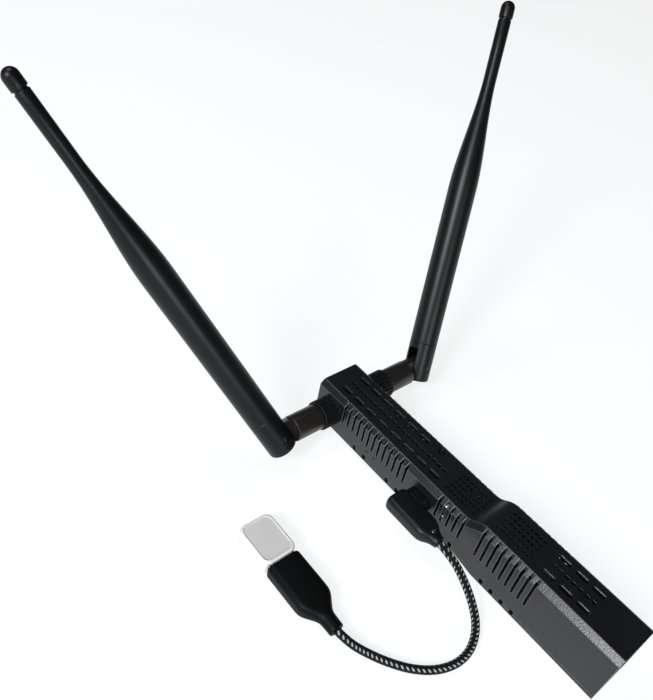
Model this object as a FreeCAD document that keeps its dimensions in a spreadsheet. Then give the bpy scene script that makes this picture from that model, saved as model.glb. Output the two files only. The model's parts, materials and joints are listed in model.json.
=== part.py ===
# Smart home radio hub: a long black case with two swivelling antennas and a plugged-in USB lead.
# Frame: +Z up, +Y towards the antenna end, -X is the side with the USB socket.
# The origin is the middle of the flat underside of the thick section. All sizes are millimetres.
import FreeCAD, Part
import math
import os
import re
import Sketcher

from FreeCAD import Placement, Rotation, Vector

doc = FreeCAD.newDocument("radio_hub")
sheet = doc.addObject("Spreadsheet::Sheet", "Sizes")

# Driving dimensions. A place "from_near" or "from_far" is a distance from that end of the case.
SIZES = {
    # Case
    "near_end": -30.0,
    "case_length": 163.0,
    "case_width": 23.0,
    "case_wall": 1.8,
    "case_bevel": 2.3,
    "lower_bevel": 0.6,
    "seam_height": 2.3,
    "thick_top": 27.8,
    "thin_top": 23.3,
    "thin_floor": 2.2,
    "ramp_head_from_near": 66.0,
    "ramp_foot_from_near": 72.0,
    "ramp_round": 8.0,
    "under_ramp_from_near": 61.0,
    "under_ramp_run": 11.0,
    # Openings in the cover
    "top_slot_length": 6.2,
    "top_slot_width": 1.3,
    "slot_lead_in": 0.4,
    "top_slot_pitch": 7.95,
    "top_slot_side": 5.2,
    "top_slot_from_far": 11.3,
    "top_slots_stop_from_near": 95.0,
    "near_slot_from_near": 21.1,
    "near_slot_count": 3,
    "dot_length": 1.9,
    "dot_width": 1.25,
    "dot_pitch": 3.075,
    "dot_from_far": 9.5,
    "dots_stop_from_near": 94.5,
    "near_dot_from_near": 19.9,
    "near_dot_count": 7,
    "grid_hole": 1.5,
    "grid_pitch_along": 2.16,
    "grid_pitch_across": 2.64,
    "grid_rows": 8,
    "grid_columns": 5,
    "thin_grid_past_foot": 1.0,
    "thick_grid_before_head": 4.1,
    "side_slot_width": 1.2,
    "side_slot_floor": 11.6,
    "far_slots_from_near": 105.4,
    "far_slots_stop_from_far": 17.5,
    "mid_slots_from_near": 72.6,
    "mid_slot_count": 5,
    "near_slots_from_near": 37.4,
    "near_side_slot_count": 9,
    "side_slot_pitch": 3.3,
    "near_side_slot_pitch": 3.22,
    "vent_width": 2.1,
    "vent_rise": 2.9,
    "vent_foot": 1.1,
    "vent_far_from_near": 128.3,
    "vent_far_pitch": 6.5,
    "vent_far_count": 2,
    "vent_mid_from_near": 106.7,
    "vent_mid_count": 2,
    "vent_ramp_from_near": 74.4,
    "vent_ramp_pitch": 6.6,
    "vent_ramp_count": 2,
    "vent_near_from_near": 39.8,
    "vent_near_pitch": 5.37,
    "vent_near_count": 4,
    "dash_length": 2.7,
    "dash_height": 0.8,
    "dash_z": 9.3,
    "dash_from_near": 122.8,
    "dash_pitch": 4.75,
    "dash_count": 2,
    # Main board
    "board_gap": 0.4,
    "board_bottom": 9.8,
    "board_thickness": 1.6,
    "board_stop_from_far": 16.0,
    "screw_from_side": 4.5,
    "near_screw_from_near": 27.0,
    "far_screw_from_far": 21.5,
    "post_radius": 2.8,
    "screw_radius": 1.25,
    "screw_hole_radius": 1.45,
    "screw_head_radius": 2.2,
    "screw_head_height": 1.6,
    "screw_seat_depth": 2.4,
    "screw_reach": 7.0,
    "fit_gap": 0.05,
    # Feet that level the thin section
    "foot_radius": 3.2,
    "foot_from_side": 5.9,
    "foot_from_far": 7.0,
    # Network jack
    "jack_width": 16.0,
    "jack_height": 13.4,
    "jack_length": 21.5,
    "jack_skin": 0.3,
    "jack_mouth_width": 11.8,
    "jack_mouth_height": 6.9,
    "jack_mouth_depth": 13.0,
    "jack_mouth_lift": 4.6,
    "latch_width": 6.2,
    "latch_depth": 2.6,
    "contact_width": 0.5,
    "contact_pitch": 1.02,
    "contact_count": 8,
    "part_gap": 0.3,
    # Electronics on the board
    "transformer_length": 13.0,
    "transformer_width": 12.4,
    "transformer_height": 6.0,
    "transformer_from_near": 31.0,
    "power_length": 12.5,
    "power_width": 13.0,
    "power_height": 10.0,
    "power_from_near": 46.0,
    "capacitor_radius": 3.15,
    "capacitor_height": 9.0,
    "capacitor_side": 3.8,
    "capacitor_from_near": 63.2,
    "module_board": 0.8,
    "module_can_height": 2.2,
    "module_can_border": 0.6,
    "controller_past_led": 0.7,
    "controller_length": 16.6,
    "controller_from_near": 66.9,
    "radio_width": 12.0,
    "radio_past_port": 13.0,
    "radio_before_screws": 5.0,
    "radio_gap": 1.0,
    "led_from_near": 82.5,
    "led_from_side": 3.4,
    "led_width": 1.6,
    "led_height": 0.8,
    "pipe_radius": 1.0,
    "pipe_top": 20.6,
    # Button
    "button_from_far": 60.3,
    "button_from_side": 5.0,
    "slots_past_button": 3.2,
    "button_radius": 1.4,
    "button_hole_radius": 1.55,
    "button_flange_radius": 1.9,
    "button_flange": 0.8,
    "button_proud": 0.5,
    "button_travel": 0.4,
    "switch_width": 4.4,
    "switch_height": 3.4,
    # USB socket and the lead's plug
    "port_from_near": 94.5,
    "socket_width": 8.94,
    "socket_height": 3.2,
    "socket_skin": 0.28,
    "socket_length": 7.4,
    "socket_set_back": 0.2,
    "tongue_width": 6.6,
    "tongue_thickness": 0.7,
    "tongue_length": 4.8,
    "plug_shell_width": 8.2,
    "plug_shell_height": 2.42,
    "plug_shell_skin": 0.3,
    "plug_shell_reach": 6.2,
    "plug_neck_gap": 0.3,
    "plug_neck_width": 12.2,
    "plug_neck_height": 6.6,
    "plug_neck_length": 3.0,
    "plug_width": 10.8,
    "plug_height": 7.2,
    "plug_far_overhang": 6.8,
    "plug_length": 21.5,
    "plug_relief_length": 5.3,
    "plug_shoulder_length": 2.2,
    "plug_relief_width": 5.4,
    "plug_relief_height": 5.1,
    "plug_round": 1.6,
    "cord_radius": 1.65,
    # Far connector of the lead
    "connector_x": -73.3,
    "connector_z": 4.0,
    "connector_front_from_near": 106.2,
    "connector_width": 15.1,
    "connector_height": 7.8,
    "connector_length": 19.0,
    "connector_waist_length": 8.0,
    "connector_relief_length": 6.6,
    "connector_relief_width": 6.2,
    "connector_relief_height": 5.8,
    "connector_corner": 2.4,
    "shell_width": 12.0,
    "shell_height": 4.5,
    "shell_skin": 0.3,
    "shell_length": 12.3,
    "shell_block_height": 1.9,
    "cap_width": 15.6,
    "cap_height": 8.0,
    "cap_length": 20.0,
    "cap_gap": 0.4,
    "cap_bore_gap": 0.12,
    "cap_round": 1.0,
    "cap_panel_depth": 0.3,
    "cap_panel_border": 1.2,
    # Antenna swivel, in from the case side to the hinge pin
    "antenna_from_far": 10.5,
    "antenna_z": 14.0,
    "jack_thread_radius": 3.15,
    "jack_flange_radius": 4.4,
    "jack_flange": 1.8,
    "jack_stub_radius": 2.0,
    "jack_stub": 3.0,
    "jack_thread_length": 5.6,
    "washer_radius": 6.4,
    "washer_thickness": 0.7,
    "nut_across_flats": 8.0,
    "nut_thickness": 1.9,
    "collar_radius": 6.85,
    "collar_length": 8.4,
    "collar_rib_depth": 0.45,
    "collar_rib_width": 0.9,
    "collar_rib_count": 22,
    "collar_rib_margin": 0.9,
    "barrel_radius": 6.0,
    "barrel_length": 14.05,
    "barrel_gap": 0.25,
    "spigot_radius": 4.2,
    "spigot_length": 3.2,
    "barrel_edge": 0.5,
    "pin_past_barrel": 8.7,
    "tongue_plate": 5.0,
    "tongue_half_height": 5.3,
    "fork_gap": 0.3,
    "pin_radius": 1.15,
    "pin_end_set_back": 0.6,
    # Antenna paddle, along its axis from the hinge pin
    "fork_end": 6.6,
    "fork_edge": 1.0,
    "joint_line": 12.3,
    "joint_line_depth": 0.15,
    "bore_floor": 18.0,
    "fork_slot_top": 9.4,
    "body_radius": 6.6,
    "body_top": 87.5,
    "taper_radius": 5.0,
    "taper_at": 112.5,
    "rod_radius": 2.95,
    "rod_from": 138.5,
    "paddle_length": 173.0,
    "tip_length": 8.0,
    "groove_length": 0.8,
    "groove_radius": 2.55,
    "tip_radius": 3.2,
    "tip_plug_radius": 1.1,
    "tip_plug_length": 4.0,
    "paddle_wall": 1.5,
    "bore_top": 80.0,
    "paddle_bore_radius": 1.3,
    "radiator_sleeve_radius": 3.0,
    "radiator_sleeve_wall": 0.4,
    "radiator_sleeve_length": 42.0,
    "radiator_wire_radius": 0.6,
    "coax_radius": 0.6,
    "lead_end_in": 6.0,
    "lead_plug_radius": 1.3,
    "lead_plug_height": 1.5,
    "lead_set_in": 2.0,
    "lead_bow": 0.8,
    # Rest pose of the antennas
    "left_tilt": 68.1,
    "left_lean": 31.5,
    "right_tilt": 66.7,
    "right_lean": 21.8,
}

for row, (alias, value) in enumerate(SIZES.items(), start=1):
    sheet.set("A%d" % row, alias.replace("_", " "))
    sheet.set("B%d" % row, str(value))
    sheet.setAlias("B%d" % row, alias)
doc.recompute()

WORD = re.compile(r"[a-z_]+[a-z]")


def size(alias):
    """A driving dimension, as a number."""
    return float(sheet.get(alias))


def sheet_word(match):
    word = match.group()
    return "Sizes." + word if word in SIZES else word


def bind(item, prop, text):
    """Bind a property to an expression in which each alias of the sheet is a plain word."""
    item.setExpression(prop, WORD.sub(sheet_word, text))


def place(item, at):
    for axis, text in zip("xyz", at):
        bind(item, "Placement.Base." + axis, text)


def box(name, x, y, z):
    """A block between two planes on each axis."""
    item = doc.addObject("Part::Box", name)
    for prop, (low, high) in zip(("Length", "Width", "Height"), (x, y, z)):
        bind(item, prop, "(%s) - (%s)" % (high, low))
    place(item, (x[0], y[0], z[0]))
    return item


TURNS = {
    "X": Rotation(Vector(0, 1, 0), 90),
    "Y": Rotation(Vector(1, 0, 0), -90),
    "Z": Rotation(),
}


def rod(name, along, radius, at, length, tip_radius=None):
    """A cylinder, or a cone where a second radius is given, that starts at a point."""
    if tip_radius is None:
        item = doc.addObject("Part::Cylinder", name)
        bind(item, "Radius", radius)
    else:
        item = doc.addObject("Part::Cone", name)
        bind(item, "Radius1", radius)
        bind(item, "Radius2", tip_radius)
    bind(item, "Height", length)
    item.Placement.Rotation = TURNS[along]
    place(item, at)
    return item


def group(name, items):
    item = doc.addObject("Part::Compound", name)
    item.Links = items
    return item


def cut(name, base, tool):
    item = doc.addObject("Part::Cut", name)
    item.Base = base
    item.Tool = tool
    return item


def fuse(name, items):
    item = doc.addObject("Part::MultiFuse", name)
    item.Shapes = items
    return item


def common(name, first, second):
    item = doc.addObject("Part::MultiCommon", name)
    item.Shapes = [first, second]
    return item


def feature(name, shape, placement=Placement()):
    item = doc.addObject("Part::Feature", name)
    item.Shape = shape
    item.Placement = placement
    return item


PARTS = []


def part(item, label):
    """Name a finished sub-part."""
    item.Label = label
    PARTS.append(item)
    return item


NEAR = "near_end"
FAR = "near_end + case_length"
HALF = "case_width / 2"
BOARD_TOP = "board_bottom + board_thickness"
SCREW_X = "(case_width / 2 - screw_from_side)"
BUTTON_X = "(case_width / 2 - button_from_side)"
BUTTON_Y = "near_end + case_length - button_from_far"


def near(text):
    return "%s + %s" % (NEAR, text)


def far(text):
    return "%s - %s" % (FAR, text)


def copies(first, last, pitch):
    """How many copies fit from the first place to the last."""
    return int((last - first) / pitch + 1e-6) + 1


def origin_plane(body, role):
    return next(plane for plane in body.Origin.OriginFeatures if plane.Role == role)


def outline(body, name, role, points):
    """A closed sketch of straight lines whose corners are bound to the sheet."""
    sketch = body.newObject("Sketcher::SketchObject", name)
    sketch.AttachmentSupport = (origin_plane(body, role), [""])
    sketch.MapMode = "FlatFace"
    count = len(points)
    start = size("case_width")
    turns = [2 * math.pi * i / count for i in range(count)]
    corners = [Vector(start * math.cos(turn), start * math.sin(turn), 0) for turn in turns]
    for i in range(count):
        sketch.addGeometry(Part.LineSegment(corners[i], corners[(i + 1) % count]), False)
    for i in range(count):
        sketch.addConstraint(Sketcher.Constraint("Coincident", i, 2, (i + 1) % count, 1))
    for i, point in enumerate(points):
        for kind, text in zip(("DistanceX", "DistanceY"), point):
            index = sketch.addConstraint(Sketcher.Constraint(kind, -1, 1, i, 1, 1.0 + i))
            bind(sketch, "Constraints[%d]" % index, text)
    return sketch


def edge_names(shape, wanted):
    return ["Edge%d" % (i + 1) for i, edge in enumerate(shape.Edges) if wanted(edge)]


def profile_body(name, points, width):
    """A body padded both ways from a side profile."""
    body = doc.addObject("PartDesign::Body", name)
    sketch = outline(body, name + "_side", "YZ_Plane", points)
    doc.recompute()
    pad = body.newObject("PartDesign::Pad", name + "_pad")
    pad.Profile = sketch
    pad.Midplane = True
    bind(pad, "Length", width)
    doc.recompute()
    return body, sketch


def dress(body, kind, name, prop, value, wanted):
    """A fillet or chamfer on the edges that a test picks."""
    last = body.Tip
    item = body.newObject("PartDesign::" + kind, name)
    item.Base = (last, edge_names(last.Shape, wanted))
    bind(item, prop, value)
    body.Tip = item
    doc.recompute()


RAMP_RUN = "(ramp_foot_from_near - ramp_head_from_near)"
RAMP_RISE = "(thick_top - thin_top)"
RAMP_SHIFT = "((sqrt(pow(%s; 2) + pow(%s; 2)) - %s) / %s)" % (RAMP_RUN, RAMP_RISE, RAMP_RUN, RAMP_RISE)


def case_block(name, inset):
    """The case's outer form, or the same form moved in by the wall: side profile, rounds, bevels.

    The upper edges have the wide bevel. The outer form's lower edges have a narrow one."""
    foot = "%s - %s * %s" % (near("ramp_foot_from_near"), inset, RAMP_SHIFT)
    head = "%s - %s * %s" % (near("ramp_head_from_near"), inset, RAMP_SHIFT)
    body, sketch = profile_body(name, [
        (near(inset), inset),
        (near("under_ramp_from_near"), inset),
        (near("under_ramp_from_near + under_ramp_run"), "thin_floor + " + inset),
        (far(inset), "thin_floor + " + inset),
        (far(inset), "thin_top - " + inset),
        (foot, "thin_top - " + inset),
        (head, "thick_top - " + inset),
        (near(inset), "thick_top - " + inset),
    ], "case_width - 2 * " + inset)

    def crosswise_at(index):
        spot = sketch.getPoint(index, 1)
        return lambda e: (abs(e.CenterOfMass.y - spot.x) < 0.01 and abs(e.CenterOfMass.z - spot.y) < 0.01
                          and abs(e.CenterOfMass.x) < 0.01)

    dress(body, "Fillet", name + "_foot", "Radius", "ramp_round + " + inset, crosswise_at(5))
    dress(body, "Fillet", name + "_head", "Radius", "ramp_round - " + inset, crosswise_at(6))
    half = body.Shape.BoundBox.XMax
    low, high = body.Shape.BoundBox.YMin, body.Shape.BoundBox.YMax

    def lengthwise(edge):
        middle = edge.CenterOfMass
        return (abs(abs(middle.x) - half) < 0.01 and abs(edge.Vertexes[0].X - edge.Vertexes[-1].X) < 0.01
                and low + 0.01 < middle.y < high - 0.01)

    def upper(edge):
        return lengthwise(edge) and edge.CenterOfMass.z > size("board_bottom")

    def lower(edge):
        return lengthwise(edge) and edge.CenterOfMass.z < size("board_bottom")

    dress(body, "Chamfer", name + "_bevels", "Size", "case_bevel - %s * (2 - sqrt(2))" % inset, upper)
    if inset == "0":
        dress(body, "Chamfer", name + "_lower_bevels", "Size", "lower_bevel", lower)
    return body


def both_sides(name, y, z, reach_in="case_wall + 1"):
    """A pair of blocks through both side walls."""
    return [box(name + "_left", ("-(%s) - 1" % HALF, "-(%s) + %s" % (HALF, reach_in)), y, z),
            box(name + "_right", ("%s - (%s)" % (HALF, reach_in), HALF + " + 1"), y, z)]


def span(middle, width):
    return "%s - %s / 2" % (middle, width), "%s + %s / 2" % (middle, width)


def slot_rows():
    """The straight slots of the top: side, centre and level of each, on the thin part and the thick part."""
    length = size("case_length")
    last = length - size("top_slot_from_far")
    past_button = length - size("button_from_far") + size("slots_past_button")
    rows = []
    for side, first in (("-", size("top_slots_stop_from_near")), ("", past_button)):
        for i in range(copies(first, last, size("top_slot_pitch"))):
            rows.append((side, "%s - %d * top_slot_pitch" % (far("top_slot_from_far"), i), "thin_top"))
        for i in range(int(size("near_slot_count"))):
            rows.append((side, "%s + %d * top_slot_pitch" % (near("near_slot_from_near"), i), "thick_top"))
    return rows


def top_openings():
    """Blocks and round pins that cut the top: slots, the middle row of dots, two grids, the button hole.

    A square bar on its edge opens out both long rims of each slot."""
    blocks, pins, bars = [], [], []
    under = "thin_top - 2 * case_wall"
    through = "thick_top + 1 - (%s)" % under
    straight = "(top_slot_length - top_slot_width)"
    reach = "(top_slot_width / 2 + slot_lead_in)"
    for index, (side, y, top) in enumerate(slot_rows()):
        x = side + "top_slot_side"
        start = "%s - %s" % (x, reach)
        bar = box("top_slot_bar_%d" % index, (start, "%s + sqrt(2) * %s" % (start, reach)), span(y, straight),
                  (top, "%s + sqrt(2) * %s" % (top, reach)))
        bar.Placement.Rotation = Rotation(Vector(0, 1, 0), 45)
        bars.append(bar)
        blocks.append(box("top_slot_%d" % index, span(x, "top_slot_width"), span(y, straight),
                          (under, "thick_top + 1")))
        for end, sign in (("a", "+"), ("b", "-")):
            pins.append(rod("top_slot_end_%d%s" % (index, end), "Z", "top_slot_width / 2",
                            (x, "%s %s %s / 2" % (y, sign, straight), under), through))
    last = size("case_length") - size("dot_from_far")
    dots = copies(size("dots_stop_from_near"), last, size("dot_pitch"))
    middles = ["%s - %d * dot_pitch" % (far("dot_from_far"), i) for i in range(dots)]
    for i in range(int(size("near_dot_count"))):
        middles.append("%s + %d * dot_pitch" % (near("near_dot_from_near"), i))
    for index, y in enumerate(middles):
        blocks.append(box("dot_%d" % index, span("0", "dot_width"), span(y, "dot_length"),
                          (under, "thick_top + 1")))
    starts = (near("ramp_foot_from_near + thin_grid_past_foot"),
              near("ramp_head_from_near - thick_grid_before_head - (grid_rows - 1) * grid_pitch_along"))
    for grid, start in enumerate(starts):
        for row in range(int(size("grid_rows"))):
            for column in range(int(size("grid_columns"))):
                x = "(%d - (grid_columns - 1) / 2) * grid_pitch_across" % column
                y = "%s + %d * grid_pitch_along" % (start, row)
                pins.append(rod("grid_%d_%d_%d" % (grid, row, column), "Z", "grid_hole / 2",
                                (x, y, under), through))
    pins.append(rod("button_hole", "Z", "button_hole_radius", (BUTTON_X, BUTTON_Y, under), through))
    return blocks, pins, bars


def side_openings():
    """Blocks that cut the side walls: three runs of tall slots that cross the bevel, dashes and vents."""
    blocks = []
    far_run = copies(size("far_slots_from_near"), size("case_length") - size("far_slots_stop_from_far"),
                     size("side_slot_pitch"))
    runs = (("far_slots_from_near", far_run, "side_slot_pitch"),
            ("mid_slots_from_near", int(size("mid_slot_count")), "side_slot_pitch"),
            ("near_slots_from_near", int(size("near_side_slot_count")), "near_side_slot_pitch"))
    for run, (start, count, pitch) in enumerate(runs):
        for i in range(count):
            y = "%s + %d * %s" % (near(start), i, pitch)
            blocks += both_sides("side_slot_%d_%d" % (run, i), span(y, "side_slot_width"),
                                 ("side_slot_floor", "thick_top + 1"), "case_bevel - 0.2")
    for i in range(int(size("dash_count"))):
        y = "%s + %d * dash_pitch" % (near("dash_from_near"), i)
        blocks += both_sides("dash_%d" % i, span(y, "dash_length"), span("dash_z", "dash_height"))
    return blocks


VENTS = (("vent_far", "vent_far_pitch", "thin_floor + vent_foot"),
         ("vent_mid", "vent_far_pitch", "thin_floor + vent_foot"),
         ("vent_ramp", "vent_ramp_pitch", "thin_floor + vent_foot"),
         ("vent_near", "vent_near_pitch", "vent_foot"))


def vents():
    """Small arched notches low in the side walls, across the seam of the two shells."""
    blocks, pins = [], []
    for run, pitch, foot in VENTS:
        arch = foot + " + vent_rise - vent_width / 2"
        for i in range(int(size(run + "_count"))):
            y = "%s + %d * %s" % (near(run + "_from_near"), i, pitch)
            blocks += both_sides("%s_%d" % (run, i), span(y, "vent_width"), (foot, arch),
                                 "case_wall + part_gap")
            for side, x in (("left", "-(%s) - 1" % HALF), ("right", HALF + " - case_wall - part_gap")):
                pins.append(rod("%s_arch_%s_%d" % (run, side, i), "X", "vent_width / 2", (x, y, arch),
                                "case_wall + 1 + part_gap"))
    return blocks, pins


SCREW_ROWS = (near("near_screw_from_near"), far("far_screw_from_far"))
SCREWS = [(side, y) for y in SCREW_ROWS for side in ("-", "")]


def screw_floor(y):
    return "0" if "near_screw" in y else "thin_floor"


def stadium(name, x, y, z, width, height, length):
    """A flat bar with round edges, along X from a given x."""
    straight = "(%s - %s)" % (width, height)
    items = [box(name + "_flat", (x, "%s + %s" % (x, length)), span(y, straight), span(z, height))]
    for end, sign in (("a", "-"), ("b", "+")):
        items.append(rod(name + "_" + end, "X", "(%s) / 2" % height,
                         (x, "%s %s %s / 2" % (y, sign, straight), z), length))
    return fuse(name, items)


PORT_Y = near("port_from_near")
PORT_Z = BOARD_TOP + " + socket_height / 2"
ANTENNA_Y = far("antenna_from_far")


def case_parts():
    """Both shells of the case, with their posts, bosses and openings, and the screws."""
    outer = case_block("case_outer", "0")
    inner = case_block("case_inner", "case_wall")
    shell = cut("case_shell", outer, inner)
    seam = [(near("-1"), "-1"),
            (far("-1"), "-1"),
            (far("-1"), "thin_floor + seam_height"),
            (near("under_ramp_from_near + under_ramp_run"), "thin_floor + seam_height"),
            (near("under_ramp_from_near"), "seam_height"),
            (near("-1"), "seam_height")]
    below, _ = profile_body("below_seam", seam, "case_width + 4")
    posts, bosses, screws, drills, pilots = [], [], [], [], []
    for i, (side, y) in enumerate(SCREWS):
        x, floor = side + SCREW_X, screw_floor(y)
        seat = floor + " + screw_seat_depth"
        posts.append(rod("post_%d" % i, "Z", "post_radius", (x, y, floor + " + case_wall / 2"),
                         "board_bottom - (%s) - case_wall / 2" % floor))
        top = "thick_top" if floor == "0" else "thin_top"
        bosses.append(rod("boss_%d" % i, "Z", "post_radius", (x, y, BOARD_TOP),
                          "%s - case_wall / 2 - (%s)" % (top, BOARD_TOP)))
        drills.append(rod("seat_%d" % i, "Z", "screw_head_radius + fit_gap", (x, y, floor + " - 1"),
                          "screw_seat_depth + 1"))
        drills.append(rod("shank_hole_%d" % i, "Z", "screw_hole_radius", (x, y, seat),
                          "board_bottom + 1 - (%s)" % seat))
        pilots.append(rod("pilot_%d" % i, "Z", "screw_radius + fit_gap / 2", (x, y, BOARD_TOP + " - 1"),
                          "screw_reach + 1.5"))
        head = rod("screw_head_%d" % i, "Z", "screw_head_radius", (x, y, seat + " - screw_head_height"),
                   "screw_head_height")
        shank = rod("screw_shank_%d" % i, "Z", "screw_radius", (x, y, seat),
                    "%s + screw_reach - (%s)" % (BOARD_TOP, seat))
        slot = rod("screw_recess_%d" % i, "Z", "screw_radius * 0.8",
                   (x, y, seat + " - screw_head_height - 1"), "screw_head_height * 0.6 + 1")
        screws.append(cut("screw_%d" % i, fuse("screw_blank_%d" % i, [head, shank]), slot))
    lower = fuse("lower_blank", [common("lower_shell", shell, below)] + posts)
    vent_blocks, vent_pins = vents()
    lower = cut("lower_notched", lower, group("vent_feet", vent_blocks))
    part(cut("lower", lower, group("lower_holes", drills)), "bottom_shell")
    upper = fuse("upper_blank", [cut("upper_shell", shell, below)] + bosses)
    top_blocks, top_pins, bars = top_openings()
    blocks = top_blocks + side_openings() + vent_blocks
    blocks.append(box("network_opening", span("0", "(jack_width + 2 * part_gap)"),
                      (near("-1"), near("case_wall + 1")),
                      (BOARD_TOP + " - part_gap", BOARD_TOP + " + jack_height + part_gap")))
    pins = top_pins + vent_pins + pilots
    for side, start in (("left", "-(%s) - 1" % HALF), ("right", HALF + " - case_wall - 1")):
        pins.append(rod("antenna_hole_" + side, "X", "jack_thread_radius + fit_gap",
                        (start, ANTENNA_Y, "antenna_z"), "case_wall + 2"))
    upper = cut("upper_slotted", upper, group("cover_blocks", blocks))
    upper = cut("upper_pierced", upper, group("cover_pins", pins))
    upper = cut("upper_led_in", upper, group("cover_bars", bars))
    port = stadium("port_opening", "-(%s) - 1" % HALF, PORT_Y, PORT_Z, "(socket_width + part_gap)",
                   "(socket_height + part_gap)", "case_wall + 2")
    part(cut("upper", upper, port), "top_cover")
    part(group("screw_set", screws), "case_screws")
    feet = []
    for name, side in (("left", "-"), ("right", "")):
        feet.append(rod("foot_" + name, "Z", "foot_radius",
                        ("%s(%s - foot_from_side)" % (side, HALF), far("foot_from_far"), "0"), "thin_floor"))
    part(group("feet", feet), "rear_feet")


def board_parts():
    """The main board and what stands on it."""
    side = HALF + " - case_wall - board_gap"
    blank = box("board_blank", ("-(%s)" % side, side),
                (near("case_wall + board_gap"), far("board_stop_from_far")), ("board_bottom", BOARD_TOP))
    holes = [rod("board_hole_%d" % i, "Z", "screw_hole_radius", (s + SCREW_X, y, "board_bottom - 1"),
                 "board_thickness + 2") for i, (s, y) in enumerate(SCREWS)]
    part(cut("board", blank, group("board_holes", holes)), "main_board")

    def on_board(name, width, start, length, height, lift="0"):
        return box(name, span("0", width), (start, "%s + %s" % (start, length)),
                   ("%s + %s" % (BOARD_TOP, lift), "%s + %s + %s" % (BOARD_TOP, lift, height)))

    part(on_board("transformer", "transformer_width", near("transformer_from_near"), "transformer_length",
                  "transformer_height"), "network_transformer")
    bobbin = on_board("power_base", "power_width", near("power_from_near"), "power_length",
                      "power_height * 0.3")
    core = on_board("power_core", "(power_width - 2)", near("power_from_near + 1"), "(power_length - 2)",
                    "power_height")
    part(fuse("power", [bobbin, core]), "power_transformer")
    part(group("capacitors", [rod("capacitor" + name, "Z", "capacitor_radius",
                                  (name_side + "capacitor_side", near("capacitor_from_near"), BOARD_TOP),
                                  "capacitor_height")
                              for name, name_side in (("_left", "-"), ("_right", ""))]), "power_capacitors")
    controller_width = "2 * (%s - led_from_side - led_width / 2 - controller_past_led)" % HALF
    first, last = near("port_from_near + radio_past_port"), far("far_screw_from_far - radio_before_screws")
    radio_length = "((%s) - (%s) - radio_gap) / 2" % (last, first)
    modules = (("controller", controller_width, near("controller_from_near"), "controller_length"),
               ("first_radio", "radio_width", first, radio_length),
               ("second_radio", "radio_width", "%s + %s + radio_gap" % (first, radio_length), radio_length))
    for name, width, start, length in modules:
        part(on_board(name + "_base", width, start, length, "module_board"), name + "_module")
        part(on_board(name + "_can", "(%s - 2 * module_can_border)" % width, start + " + module_can_border",
                      "(%s - 2 * module_can_border)" % length, "module_can_height", "module_board"),
             name + "_shield")
    led_x = "-(%s - led_from_side)" % HALF
    led = box("led", span(led_x, "led_width"), span(near("led_from_near"), "led_width"),
              (BOARD_TOP, BOARD_TOP + " + led_height"))
    part(led, "status_led")
    part(rod("pipe", "Z", "pipe_radius", (led_x, near("led_from_near"), BOARD_TOP + " + led_height"),
             "pipe_top - (%s) - led_height" % BOARD_TOP), "light_pipe")


def network_jack():
    """The network jack at the near end: folded metal shield, insert with a stepped mouth, contacts."""
    front, back = near("socket_set_back"), near("socket_set_back + jack_length")
    top = BOARD_TOP + " + jack_height"
    blank = box("shield_blank", span("0", "jack_width"), (front, back), (BOARD_TOP, top))
    hollow = box("shield_hollow", span("0", "(jack_width - 2 * jack_skin)"),
                 (front + " - 1", back + " - jack_skin"), (BOARD_TOP + " - 1", top + " - jack_skin"))
    part(cut("shield", blank, hollow), "network_jack_shield")
    inset = " - jack_skin - fit_gap"
    block = box("insert_blank", span("0", "(jack_width - 2 * jack_skin - 2 * fit_gap)"),
                (front + " + fit_gap", back + inset), (BOARD_TOP, top + inset))
    floor = BOARD_TOP + " + jack_mouth_lift"
    ceiling = floor + " + jack_mouth_height"
    mouth = box("mouth", span("0", "jack_mouth_width"), (front + " - 1", front + " + jack_mouth_depth"),
                (floor, ceiling))
    latch = box("latch", span("0", "latch_width"), (front + " - 1", front + " + jack_mouth_depth * 0.8"),
                (floor + " - latch_depth", floor + " + 1"))
    part(cut("insert", block, fuse("mouth_cut", [mouth, latch])), "network_jack_insert")
    bars = []
    for i in range(int(size("contact_count"))):
        x = "(%d - (contact_count - 1) / 2) * contact_pitch" % i
        bars.append(box("contact_%d" % i, span(x, "contact_width"),
                        (front + " + 3", front + " + jack_mouth_depth"),
                        (ceiling + " - contact_width", ceiling)))
    part(group("contacts", bars), "network_jack_contacts")


def button_parts():
    """The mode button in the cover and the switch below it."""
    x, y = BUTTON_X, BUTTON_Y
    switch = box("switch", span(x, "switch_width"), span(y, "switch_width"),
                 (BOARD_TOP, BOARD_TOP + " + switch_height"))
    part(switch, "mode_switch")
    flange_top = "thin_top - case_wall - fit_gap"
    cap = rod("button_cap", "Z", "button_radius", (x, y, flange_top), "case_wall + fit_gap + button_proud")
    flange = rod("button_flange_disc", "Z", "button_flange_radius", (x, y, flange_top + " - button_flange"),
                 "button_flange")
    foot = BOARD_TOP + " + switch_height + button_travel + fit_gap"
    stem = rod("button_stem", "Z", "button_radius * 0.7", (x, y, foot),
               "%s - button_flange - (%s)" % (flange_top, foot))
    part(fuse("button", [cap, flange, stem]), "mode_button")


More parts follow.
